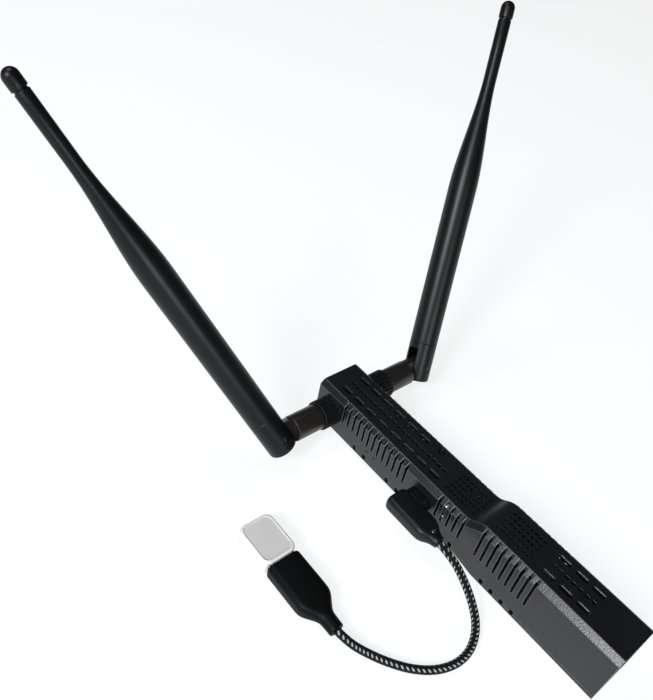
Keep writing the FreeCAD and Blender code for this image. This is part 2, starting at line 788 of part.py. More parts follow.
def usb_parts():
    """The USB socket in the left wall and the angled plug of the lead that sits in it."""
    mouth = "-(%s) + socket_set_back" % HALF
    shell = stadium("socket_outer", mouth, PORT_Y, PORT_Z, "socket_width", "socket_height", "socket_length")
    bore = stadium("socket_bore", mouth + " - 1", PORT_Y, PORT_Z, "(socket_width - 2 * socket_skin)",
                   "(socket_height - 2 * socket_skin)", "socket_length + 1 - socket_skin")
    part(cut("socket", shell, bore), "usb_socket_shell")
    root = "%s + socket_length - socket_skin" % mouth
    part(box("socket_tongue", ("%s - tongue_length" % root, root), span(PORT_Y, "tongue_width"),
             span("(%s)" % PORT_Z, "tongue_thickness")), "usb_socket_tongue")
    neck = "-(%s) - plug_neck_gap" % HALF
    skin = stadium("plug_tube", neck, PORT_Y, PORT_Z, "plug_shell_width", "plug_shell_height",
                   "plug_shell_reach")
    hole = stadium("plug_hole", neck + " - 1", PORT_Y, PORT_Z, "(plug_shell_width - 2 * plug_shell_skin)",
                   "(plug_shell_height - 2 * plug_shell_skin)", "plug_shell_reach + 2")
    part(cut("plug_shell", skin, hole), "usb_plug_shell")
    shoulder = neck + " - plug_neck_length"
    neck_bar = stadium("plug_neck", shoulder + " - 1", PORT_Y, PORT_Z, "plug_neck_width",
                       "plug_neck_height", "plug_neck_length + 1")
    head = near("port_from_near + plug_far_overhang")
    block = box("plug_block", (shoulder + " - plug_width", shoulder), (head + " - plug_length", head),
                span(PORT_Z, "plug_height"))
    rounded = rounded_all("plug_rounded", block, "plug_round")
    middle = -size("case_width") / 2 - size("plug_neck_gap") - size("plug_neck_length") - size("plug_width") / 2
    z = size("board_bottom") + size("board_thickness") + size("socket_height") / 2
    end = (size("near_end") + size("port_from_near") + size("plug_far_overhang") - size("plug_length"))
    width, height, corner = size("plug_relief_width"), size("plug_relief_height"), size("plug_round")
    extra_width, extra_height = size("plug_width") - width, size("plug_height") - height
    reach = size("plug_shoulder_length") + size("plug_relief_length")
    rings = []
    for share, full in ((0.0, 0.97), (0.25, 0.8), (0.5, 0.35), (0.75, 0.1), (1.0, 0.0)):
        y = end + size("plug_shoulder_length") - reach * share
        rings.append(rounded_ring(middle, y, z, width + extra_width * full, height + extra_height * full,
                                  corner + (0.48 * height - corner) * share))
    relief = feature("plug_relief", Part.makeLoft(rings, True))
    part(fuse("plug_body", [neck_bar, rounded, relief]), "usb_plug_body")


def rounded_all(name, base, radius):
    """A block with every edge rounded."""
    doc.recompute()
    item = doc.addObject("Part::Fillet", name)
    item.Base = base
    item.Edges = [(i + 1, size(radius), size(radius)) for i in range(len(base.Shape.Edges))]
    return item


# The cord's route, from the plug's relief to the far connector. Its middle lies on the surface.
CORD_ROUTE = [
    (-20.2, 44.5, 13.0),
    (-20.5, 36.9, 12.8),
    (-22.0, 29.0, 10.8),
    (-24.2, 21.0, 7.6),
    (-27.8, 13.8, 4.1),
    (-34.6, 9.0, 2.1),
    (-43.0, 7.9, 1.7),
    (-51.6, 10.6, 1.7),
    (-59.0, 16.2, 1.7),
    (-64.9, 23.6, 1.9),
    (-69.4, 30.8, 2.6),
    (-72.5, 36.9, 3.6),
    (-73.3, 42.6, 4.0),
]
ARC_SHARE = 0.45


def rounded_path(points):
    """Straight runs joined by tangent arcs, each as large as its two runs allow."""
    edges, start, radii = [], points[0], []
    for before, corner, after in zip(points, points[1:], points[2:]):
        back, on = (before - corner).normalize(), (after - corner).normalize()
        reach = ARC_SHARE * min(before.distanceToPoint(corner), after.distanceToPoint(corner))
        half_turn = (math.pi - back.getAngle(on)) / 2
        radii.append(reach / math.tan(half_turn))
        first, last = corner + back * reach, corner + on * reach
        centre_way = (back + on).normalize()
        middle = corner + centre_way * (radii[-1] / math.cos(half_turn) - radii[-1])
        edges.append(Part.LineSegment(start, first).toShape())
        edges.append(Part.Arc(first, middle, last).toShape())
        start = last
    edges.append(Part.LineSegment(start, points[-1]).toShape())
    return Part.Wire(edges), radii


def tube(points, radius):
    """A round tube along a path, with the path's length and tightest radius."""
    path, radii = rounded_path(points)
    ring = Part.Wire([Part.makeCircle(radius, points[0], points[1] - points[0])])
    solid = path.makePipeShell([ring], True, False)
    return solid, path.Length, radii


def cord_points():
    """The route, eased along its length so that its ends stay at the two reliefs."""
    start_x = (-size("case_width") / 2 - size("plug_neck_gap") - size("plug_neck_length")
               - size("plug_width") / 2)
    start_y = (size("port_from_near") + size("plug_far_overhang") - size("plug_length")
               - size("plug_relief_length"))
    start_z = size("board_bottom") + size("board_thickness") + size("socket_height") / 2
    end_y = (size("connector_front_from_near") - size("connector_length") - size("connector_waist_length")
             - size("connector_relief_length"))
    start = Vector(start_x, size("near_end") + start_y, start_z)
    end = Vector(size("connector_x"), size("near_end") + end_y, size("connector_z"))
    route = [Vector(*spot) for spot in CORD_ROUTE]
    ease_start, ease_end = start - route[0], end - route[-1]
    last = len(route) - 1
    return [spot + ease_start * (1 - i / last) + ease_end * (i / last) for i, spot in enumerate(route)]


def cord():
    radius = size("cord_radius")
    solid, length, radii = tube(cord_points(), radius)
    expected = math.pi * radius ** 2 * length
    print("cord length %.1f, radii %s" % (length, [round(r, 1) for r in radii]))
    print("cord volume %.1f, section times length %.1f" % (solid.Volume, expected))
    part(feature("cord", solid), "usb_cord")


def rounded_ring(x, y, z, width, height, corner):
    """A rounded rectangle across Y, centred at a point."""
    corner = min(corner, 0.49 * width, 0.49 * height)
    w, h = width / 2, height / 2
    a, b = w - corner, h - corner
    k = corner * math.sqrt(0.5)
    lines = [((-a, -h), (a, -h)), ((w, -b), (w, b)), ((a, h), (-a, h)), ((-w, b), (-w, -b))]
    arcs = [((a, -h), (a + k, -b - k), (w, -b)), ((w, b), (a + k, b + k), (a, h)),
            ((-a, h), (-a - k, b + k), (-w, b)), ((-w, -b), (-a - k, -b - k), (-a, -h))]

    def at(spot):
        return Vector(x + spot[0], y, z + spot[1])

    edges = []
    for line, arc in zip(lines, arcs):
        edges.append(Part.LineSegment(at(line[0]), at(line[1])).toShape())
        edges.append(Part.Arc(at(arc[0]), at(arc[1]), at(arc[2])).toShape())
    return Part.Wire(edges)


def connector_parts():
    """The straight far connector of the lead, with its metal shell, inner block and white cap."""
    x, z = size("connector_x"), size("connector_z")
    front = size("near_end") + size("connector_front_from_near")
    width, height, corner = size("connector_width"), size("connector_height"), size("connector_corner")
    end_width, end_height = size("connector_relief_width"), size("connector_relief_height")
    shoulder = front - size("connector_length")
    waist = shoulder - size("connector_waist_length")
    tail = waist - size("connector_relief_length")
    block = Part.makeLoft([rounded_ring(x, y, z, width, height, corner) for y in (front, shoulder)], True)
    steps = [(0.0, 1.0), (0.3, 0.93), (0.65, 0.4), (1.0, 0.16)]
    neck_rings = []
    for share, full in steps:
        w = end_width + (width - end_width) * full
        h = end_height + (height - end_height) * full
        neck_rings.append(rounded_ring(x, shoulder + (waist - shoulder) * share, z, w, h, corner))
    neck_rings.append(rounded_ring(x, tail, z, end_width, end_height, corner))
    neck = Part.makeLoft(neck_rings, True)
    part(feature("connector_body", block.fuse(neck).removeSplitter()), "usb_connector_body")

    middle_x, middle_z, face = "connector_x", "connector_z", near("connector_front_from_near")
    outer = box("usb_a_outer", span(middle_x, "shell_width"), (face, face + " + shell_length"),
                span(middle_z, "shell_height"))
    bore = box("usb_a_bore", span(middle_x, "(shell_width - 2 * shell_skin)"),
               (face + " - 1", face + " + shell_length + 1"),
               span(middle_z, "(shell_height - 2 * shell_skin)"))
    part(cut("usb_a_shell", outer, bore), "usb_connector_shell")
    part(box("usb_a_block", span(middle_x, "(shell_width - 2 * shell_skin - 2 * fit_gap)"),
             (face, face + " + shell_length - part_gap"),
             ("%s + shell_height / 2 - shell_skin - fit_gap - shell_block_height" % middle_z,
              "%s + shell_height / 2 - shell_skin - fit_gap" % middle_z)), "usb_connector_block")
    start = face + " + cap_gap"
    blank = box("cap_blank", span(middle_x, "cap_width"), (start, start + " + cap_length"),
                span(middle_z, "cap_height"))
    smooth = rounded_all("cap_rounded", blank, "cap_round")
    hollow = box("cap_hollow", span(middle_x, "(shell_width + 2 * cap_bore_gap)"),
                 (start + " - 1", face + " + shell_length + cap_gap"),
                 span(middle_z, "(shell_height + 2 * cap_bore_gap)"))
    panel = box("cap_panel", span(middle_x, "(cap_width - 2 * cap_panel_border)"),
                (start + " + cap_panel_border", start + " + cap_length - cap_panel_border"),
                ("%s + cap_height / 2 - cap_panel_depth" % middle_z, "%s + cap_height / 2 + 1" % middle_z))
    part(cut("cap", smooth, group("cap_cuts", [hollow, panel])), "connector_cap")


SWIVEL_X = {"left": Rotation(Vector(0, 0, 1), 180), "right": Rotation()}
COLLAR_START = HALF + " + washer_thickness + 2 * fit_gap"
COLLAR_END = COLLAR_START + " + collar_length"
BARREL_START = COLLAR_END + " + barrel_gap"
BARREL_END = BARREL_START + " + barrel_length"
PIN_X = BARREL_END + " + pin_past_barrel"


def seat_on_axis(item, side, lean=None):
    """Move a piece built along +X to its side of the case, turned about the swivel axis if it leans."""
    turn = SWIVEL_X[side]
    if lean is not None:
        turn = Rotation(Vector(1, 0, 0), -size(lean)) * turn
    item.Placement.Rotation = turn
    bind(item, "Placement.Base.y", ANTENNA_Y)
    bind(item, "Placement.Base.z", "antenna_z")
    return item


def along_axis(name, radius, start, end, tip_radius=None):
    return rod(name, "X", radius, (start, "0", "0"), "(%s) - (%s)" % (end, start), tip_radius)


def fixed_antenna_parts(side):
    """The chassis jack in the side wall, its washer and nut, and the ribbed collar screwed onto it."""
    wall = HALF + " - case_wall"
    flange = wall + " - jack_flange"
    thread_end = HALF + " + jack_thread_length"
    jack = fuse(side + "_jack", [
        along_axis(side + "_thread", "jack_thread_radius", flange, thread_end),
        along_axis(side + "_flange", "jack_flange_radius", flange, wall),
        along_axis(side + "_stub", "jack_stub_radius", flange + " - jack_stub", flange),
    ])
    part(seat_on_axis(jack, side), side + "_antenna_jack")
    washer_end = HALF + " + washer_thickness"
    hole = "jack_thread_radius + fit_gap"
    washer = cut(side + "_washer", along_axis(side + "_washer_disc", "washer_radius", HALF, washer_end),
                 along_axis(side + "_washer_hole", hole, HALF + " - 1", washer_end + " + 1"))
    part(seat_on_axis(washer, side), side + "_jack_washer")
    hexagon = doc.addObject("Part::Prism", side + "_nut_blank")
    hexagon.Polygon = 6
    bind(hexagon, "Circumradius", "nut_across_flats / sqrt(3)")
    bind(hexagon, "Height", "nut_thickness")
    hexagon.Placement.Rotation = TURNS["X"]
    place(hexagon, (washer_end, "0", "0"))
    nut = cut(side + "_nut", hexagon, along_axis(side + "_nut_hole", hole, HALF, washer_end + " + 9"))
    part(seat_on_axis(nut, side), side + "_jack_nut")
    tube_blank = along_axis(side + "_collar_blank", "collar_radius", COLLAR_START, COLLAR_END)
    bores = fuse(side + "_collar_bores", [
        along_axis(side + "_nut_room", "nut_across_flats / sqrt(3) + part_gap", COLLAR_START + " - 1",
                   washer_end + " + nut_thickness + fit_gap"),
        along_axis(side + "_thread_room", hole, COLLAR_START, thread_end + " + fit_gap"),
        along_axis(side + "_spigot_room", "spigot_radius + fit_gap",
                   COLLAR_END + " - spigot_length - fit_gap", COLLAR_END + " + 1"),
    ])
    ribs = []
    count = int(size("collar_rib_count"))
    for i in range(count):
        groove = box(side + "_rib_%d" % i,
                     (COLLAR_START + " + collar_rib_margin", COLLAR_END + " - collar_rib_margin"),
                     ("-collar_rib_width / 2", "collar_rib_width / 2"),
                     ("collar_radius - collar_rib_depth", "collar_radius + 1"))
        ring = group(side + "_rib_turned_%d" % i, [groove])
        ring.Placement.Rotation = Rotation(Vector(1, 0, 0), 360.0 * i / count)
        ribs.append(ring)
    bored = cut(side + "_collar_bored", tube_blank, bores)
    part(seat_on_axis(cut(side + "_ribbed", bored, group(side + "_ribs", ribs)), side), side + "_collar")


def swivel_parts(side):
    """The smooth barrel that turns in the collar, with the plate that carries the hinge pin."""
    lean = side + "_lean"
    plate = ("-tongue_plate / 2", "tongue_plate / 2")
    solid = fuse(side + "_barrel_blank", [
        along_axis(side + "_barrel_tube", "barrel_radius", BARREL_START, BARREL_END + " - barrel_edge"),
        along_axis(side + "_barrel_rim", "barrel_radius", BARREL_END + " - barrel_edge", BARREL_END,
                   "barrel_radius - barrel_edge"),
        along_axis(side + "_spigot", "spigot_radius", COLLAR_END + " - spigot_length", BARREL_START),
        box(side + "_plate", (BARREL_END + " - 1", PIN_X), plate,
            ("-tongue_half_height", "tongue_half_height")),
        rod(side + "_plate_end", "Y", "tongue_half_height", (PIN_X, plate[0], "0"), "tongue_plate"),
    ])
    hole = rod(side + "_plate_hole", "Y", "pin_radius + fit_gap", (PIN_X, "-tongue_plate", "0"),
               "2 * tongue_plate")
    part(seat_on_axis(cut(side + "_barrel", solid, hole), side, lean), side + "_barrel")
    pin = rod(side + "_pin_rod", "Y", "pin_radius", (PIN_X, "-body_radius + pin_end_set_back", "0"),
              "2 * (body_radius - pin_end_set_back)")
    pin = group(side + "_pin", [pin])
    part(seat_on_axis(pin, side, lean), side + "_hinge_pin")


def paddle_pose(side):
    """Where a paddle built up from its hinge pin along +Z lies: leaned, then tilted out from the case."""
    sign = -1 if side == "left" else 1
    lean = Rotation(Vector(1, 0, 0), -size(side + "_lean"))
    tilt = Rotation(Vector(0, 1, 0), sign * (90 - size(side + "_tilt")))
    face = Rotation(Vector(0, 0, 1), 180 if side == "right" else 0)
    reach = (size("case_width") / 2 + size("washer_thickness") + 2 * size("fit_gap") + size("collar_length")
             + size("barrel_gap") + size("barrel_length") + size("pin_past_barrel"))
    y = size("near_end") + size("case_length") - size("antenna_from_far")
    return Placement(Vector(sign * reach, y, size("antenna_z")), lean * tilt * face)


def paddle_form(side):
    """The paddle's outer form, turned about its axis: fork end, joint line, even body, taper, thin rod."""
    body, rod_radius, groove = size("body_radius"), size("rod_radius"), size("groove_radius")
    end, edge = size("fork_end"), size("fork_edge")
    line, depth = size("joint_line"), size("joint_line_depth")
    rod_end = size("paddle_length") - size("tip_length") - size("groove_length") / 2
    half = edge * math.sqrt(0.5)
    low = [Vector(body, 0, edge - end), Vector(body, 0, line - depth), Vector(body - depth, 0, line),
           Vector(body, 0, line + depth), Vector(body, 0, size("body_top"))]
    taper = Part.BSplineCurve()
    taper.interpolate(Points=[low[-1], Vector(size("taper_radius"), 0, size("taper_at")),
                              Vector(rod_radius, 0, size("rod_from"))],
                      InitialTangent=Vector(0, 0, 1), FinalTangent=Vector(0, 0, 1))
    rod_stop = rod_end + size("groove_length")
    top = [Vector(rod_radius, 0, size("rod_from")), Vector(rod_radius, 0, rod_end),
           Vector(groove, 0, rod_end), Vector(groove, 0, rod_stop), Vector(0, 0, rod_stop)]
    foot = Vector(0, 0, -end)
    rim = Vector(body - edge, 0, -end)
    edges = [Part.LineSegment(foot, rim).toShape(),
             Part.Arc(rim, Vector(body - edge + half, 0, edge - end - half), low[0]).toShape()]
    edges += [Part.LineSegment(a, b).toShape() for a, b in zip(low, low[1:])]
    edges.append(taper.toShape())
    edges += [Part.LineSegment(a, b).toShape() for a, b in zip(top, top[1:])]
    edges.append(Part.LineSegment(top[-1], foot).toShape())
    return feature(side + "_paddle_form",
                   Part.Face(Part.Wire(edges)).revolve(Vector(0, 0, 0), Vector(0, 0, 1), 360))


def paddle_parts(side):
    """The tilting paddle with its fork, the rounded tip cap and the radiator inside."""
    pose = paddle_pose(side)
    slot_radius = "tongue_half_height + fork_gap"
    past, below = "body_radius + 1", "-fork_end - 1"
    across = ("-tongue_plate / 2 - fork_gap", "tongue_plate / 2 + fork_gap")
    slot = fuse(side + "_fork_slot", [
        box(side + "_slot_low", ("-(%s)" % slot_radius, past), across, (below, "0")),
        box(side + "_slot_side", ("0", past), across, ("0", "fork_slot_top")),
        rod(side + "_slot_round", "Y", slot_radius, ("0", across[0], "0"), "tongue_plate + 2 * fork_gap"),
    ])
    bore = group(side + "_bores", [fuse(side + "_bore_steps", [
        rod(side + "_bore_wide", "Z", "body_radius - paddle_wall", ("0", "0", "bore_floor"),
            "bore_top - bore_floor"),
        rod(side + "_bore_narrow", "Z", "paddle_bore_radius", ("0", "0", "bore_top - 1"),
            "paddle_length - tip_length + 2 - bore_top"),
    ])])
    pin_hole = rod(side + "_ear_hole", "Y", "pin_radius", ("0", "-body_radius - 1", "0"),
                   "2 * (body_radius + 1)")
    form = cut(side + "_paddle_forked", paddle_form(side), slot)
    form = cut(side + "_paddle_drilled", form, pin_hole)
    form = cut(side + "_paddle", form, bore)
    form.Placement = pose
    part(form, side + "_paddle")
    start = "paddle_length - tip_length + groove_length / 2"
    ball = doc.addObject("Part::Sphere", side + "_tip_ball")
    bind(ball, "Radius", "tip_radius")
    place(ball, ("0", "0", "paddle_length - tip_radius"))
    cap = fuse(side + "_tip", [
        rod(side + "_tip_tube", "Z", "tip_radius", ("0", "0", start),
            "tip_length - tip_radius - groove_length / 2"),
        ball,
        rod(side + "_tip_plug", "Z", "tip_plug_radius", ("0", "0", start + " - tip_plug_length"),
            "tip_plug_length"),
    ])
    cap.Placement = pose
    part(cap, side + "_tip_cap")
    foot = ("0", "0", "bore_floor")
    room = rod(side + "_sleeve_room", "Z", "radiator_sleeve_radius - radiator_sleeve_wall",
               ("0", "0", "bore_floor + radiator_sleeve_wall"), "radiator_sleeve_length")
    sleeve = cut(side + "_sleeve", rod(side + "_sleeve_blank", "Z", "radiator_sleeve_radius", foot,
                                       "radiator_sleeve_length"), room)
    wire = fuse(side + "_radiator", [
        sleeve,
        rod(side + "_wire", "Z", "radiator_wire_radius", foot,
            "paddle_length - tip_length - tip_plug_length - 1 - bore_floor"),
    ])
    wire.Placement = pose
    part(wire, side + "_radiator")


def coax_lead(side):
    """The thin coaxial lead inside the case, from the jack's rear stub down to its socket on the board."""
    sign = -1 if side == "left" else 1
    stub = size("case_width") / 2 - size("case_wall") - size("jack_flange") - size("jack_stub")
    y = size("near_end") + size("case_length") - size("antenna_from_far")
    z = size("antenna_z")
    top = size("board_bottom") + size("board_thickness")
    plug = size("near_end") + size("case_length") - size("board_stop_from_far") - size("lead_end_in")
    radius = size("coax_radius")
    bow, inner = size("lead_bow"), stub - size("lead_set_in")
    run, drop = y - plug, z - top - size("lead_plug_height")
    route = [
        (sign * stub, y, z),
        (sign * (inner + 0.5 * bow), y - 0.02 * run, z),
        (sign * (inner - 0.7 * bow), y - 0.16 * run, z - 0.1 * drop),
        (sign * (inner - bow), y - 0.38 * run, z - 0.4 * drop),
        (sign * (inner - 0.6 * bow), y - 0.63 * run, z - 0.8 * drop),
        (sign * inner, y - 0.83 * run, z - 0.9 * drop),
        (sign * inner, plug, top + size("lead_plug_height") - 0.3 * radius),
    ]
    solid, _, _ = tube([Vector(*spot) for spot in route], radius)
    foot = Part.makeCylinder(size("lead_plug_radius"), size("lead_plug_height"),
                             Vector(sign * inner, plug - size("lead_plug_radius") * 0.6, top))
    part(feature(side + "_coax", solid.fuse(foot)), side + "_coax_lead")


def check_and_write():
    doc.recompute()
    faults = [item.Name for item in doc.Objects if "Invalid" in item.State or "Error" in item.State]
    faults += [item.Label for item in PARTS if item.Shape.isNull() or not item.Shape.isValid()]
    if faults:
        raise SystemExit("failed: " + ", ".join(faults))
    os.makedirs("parts", exist_ok=True)
    for item in PARTS:
        item.Shape.exportStep(os.path.join("parts", item.Label + ".step"))
        print("%-24s solids %d volume %10.2f" % (item.Label, len(item.Shape.Solids), item.Shape.Volume))


case_parts()
board_parts()
network_jack()
button_parts()
usb_parts()
cord()
connector_parts()
for antenna_side in ("left", "right"):
    fixed_antenna_parts(antenna_side)
    swivel_parts(antenna_side)
    paddle_parts(antenna_side)
    coax_lead(antenna_side)
check_and_write()
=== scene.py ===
"""Looks of the smart home radio hub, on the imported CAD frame. Lengths are mm unless a comment says metres."""
import json
import math
import random

import bmesh
import bpy
from mathutils import Matrix, Vector


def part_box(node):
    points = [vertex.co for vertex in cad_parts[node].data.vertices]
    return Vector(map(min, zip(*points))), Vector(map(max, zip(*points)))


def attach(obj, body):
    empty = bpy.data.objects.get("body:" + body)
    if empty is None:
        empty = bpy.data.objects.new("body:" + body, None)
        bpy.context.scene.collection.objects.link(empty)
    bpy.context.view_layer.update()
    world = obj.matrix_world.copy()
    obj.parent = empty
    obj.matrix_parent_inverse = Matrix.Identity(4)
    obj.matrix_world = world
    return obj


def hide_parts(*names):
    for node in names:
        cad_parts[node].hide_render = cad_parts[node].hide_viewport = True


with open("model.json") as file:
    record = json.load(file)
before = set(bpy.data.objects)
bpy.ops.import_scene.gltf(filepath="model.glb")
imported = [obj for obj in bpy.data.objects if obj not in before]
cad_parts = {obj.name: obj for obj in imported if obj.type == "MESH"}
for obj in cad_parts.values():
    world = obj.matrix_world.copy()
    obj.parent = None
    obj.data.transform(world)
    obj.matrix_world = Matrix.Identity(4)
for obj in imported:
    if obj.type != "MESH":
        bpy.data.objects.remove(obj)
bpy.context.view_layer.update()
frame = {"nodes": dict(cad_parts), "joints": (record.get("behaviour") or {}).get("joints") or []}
scene = bpy.context.scene
random.seed(7)

# Places taken from the frame


def corners(node):
    """The lowest and highest corners of a CAD node."""
    low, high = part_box(node)
    return Vector(low) * 1000, Vector(high) * 1000


def middle(node):
    """The middle of a CAD node's box."""
    low, high = corners(node)
    return (low + high) / 2


JOINTS = {joint["name"]: joint for joint in frame["joints"]}
SIDES = ("left", "right")
PIN_AT = {side: Vector(JOINTS[side + "_antenna_tilt"]["pos_m"]) * 1000 for side in SIDES}
# At one end of its turn an antenna lies along Y, and at one end of its tilt it lies along X, so the joints'
# ranges give its angles at rest
LEAN = {side: 90 - JOINTS[side + "_swivel_turn"]["range_deg"][1] for side in SIDES}
TILT = {side: -JOINTS[side + "_antenna_tilt"]["range_deg"][0] for side in SIDES}
PIN_X = PIN_AT["right"].x
COVER_LOW, COVER_HIGH = corners("top_cover")
PLUG_LOW, PLUG_HIGH = corners("usb_plug_body")
CONNECTOR_LOW, CONNECTOR_HIGH = corners("usb_connector_body")
SHELL_LOW, SHELL_HIGH = corners("usb_connector_shell")
CAP_LOW, CAP_HIGH = corners("connector_cap")

# Driving dimensions of the case, and of the lead
CASE_BEVEL = 2.3
# The cover's two grids of small holes lie between these places along Y
GRIDS_FROM, GRIDS_TO = 15.3, 59.7
CORD_RADIUS = 1.65
CORD_LENGTH = 98.9

# Colour and shader nodes


def tone(code):
    """A linear colour from an sRGB hex code."""
    channels = [int(code[i:i + 2], 16) / 255 for i in (1, 3, 5)]
    return tuple(c / 12.92 if c <= 0.04045 else ((c + 0.055) / 1.055) ** 2.4 for c in channels) + (1.0,)


def add(tree, kind, inputs=None, **settings):
    """One shader node, with its settings and its inputs set or linked.

    An input that is given as a node is linked to the first output that the node has in use."""
    node = tree.nodes.new("ShaderNode" + kind)
    for key, value in settings.items():
        setattr(node, key, value)
    for key, value in (inputs or {}).items():
        if isinstance(value, bpy.types.Node):
            value = next(output for output in value.outputs if output.enabled)
        if isinstance(value, bpy.types.NodeSocket):
            tree.links.new(value, node.inputs[key])
        else:
            node.inputs[key].default_value = value
    return node


def per_mm(size):
    """A pattern's scale for marks of that size, on coordinates in metres."""
    return 1000 / size


def material(name, coordinates="Object"):
    """A new material with an empty node tree, and the coordinates that its patterns lie in."""
    made = bpy.data.materials.new(name)
    made.use_nodes = True
    tree = made.node_tree
    tree.nodes.clear()
    return made, tree, add(tree, "TexCoord").outputs[coordinates]


# A noise pattern mostly lies between these values
NOISE = {"From Min": 0.3, "From Max": 0.7}

# Materials


def moulded(name, dark, light, grain_mm, depth_mm, roughness, edge_mm=0.2, shine=0.5):
    """Moulded plastic or rubber: two close shades in soft flow clouds, an even grain, softened edges.

    A mould's real grain is finer than 0.1 mm. It is drawn at grain_mm, so that it shows."""
    made, tree, place = material(name)
    clouds = add(tree, "TexNoise", {"Vector": place, "Scale": per_mm(14.3), "Detail": 4.0})
    share = add(tree, "MapRange", {"Value": clouds, **NOISE})
    shade = add(tree, "Mix", {"Factor": share, "A": tone(dark), "B": tone(light)}, data_type="RGBA")
    grain = add(tree, "TexNoise", {"Vector": place, "Scale": per_mm(grain_mm), "Detail": 3.0,
                                   "Roughness": 0.6})
    gloss = add(tree, "MapRange", {"Value": grain, **NOISE, "To Min": roughness - 0.05,
                                   "To Max": roughness + 0.05})
    edge = add(tree, "Bevel", {"Radius": edge_mm / 1000}, samples=4)
    relief = add(tree, "Bump", {"Height": grain, "Distance": depth_mm / 1000, "Normal": edge})
    skin = add(tree, "BsdfPrincipled", {"Base Color": shade, "Roughness": gloss, "IOR": 1.5,
                                        "Specular IOR Level": shine, "Normal": relief})
    add(tree, "OutputMaterial", {"Surface": skin})
    return made


# A metal's edges by radius, and its fine lines by width and depth
METAL_EDGE = 0.08
LINE_WIDTH, LINE_DEPTH = 0.7, 0.004


def metal(name, dark, light, roughness, stretch=(1.0, 1.0, 1.0)):
    """Bare or plated metal: fine lines that follow how it was drawn or turned.

    The real lines are under 0.1 mm apart. They are drawn 0.7 mm wide, so that they show."""
    made, tree, place = material(name)
    drawn = add(tree, "Mapping", {"Vector": place, "Scale": stretch})
    lines = add(tree, "TexNoise", {"Vector": drawn, "Scale": per_mm(LINE_WIDTH), "Detail": 3.0,
                                   "Roughness": 0.6})
    share = add(tree, "MapRange", {"Value": lines, **NOISE})
    shade = add(tree, "Mix", {"Factor": share, "A": tone(dark), "B": tone(light)}, data_type="RGBA")
    gloss = add(tree, "MapRange", {"Value": lines, **NOISE, "To Min": roughness - 0.06,
                                   "To Max": roughness + 0.08})
    edge = add(tree, "Bevel", {"Radius": METAL_EDGE / 1000}, samples=4)
    relief = add(tree, "Bump", {"Height": lines, "Distance": LINE_DEPTH / 1000, "Normal": edge})
    skin = add(tree, "BsdfPrincipled", {"Base Color": shade, "Metallic": 1.0,
                                        "Roughness": gloss, "Normal": relief})
    add(tree, "OutputMaterial", {"Surface": skin})
    return made


# The case's plastic: radii of its edges, sizes of its marks and depth of its pits
BLUNT_EDGE = 0.45
CRISP_EDGE = 0.07
CASE_CLOUDS = 22.2
CASE_PITS = 0.714
CASE_GRAIN = 0.4545
PIT_DEPTH = 0.05


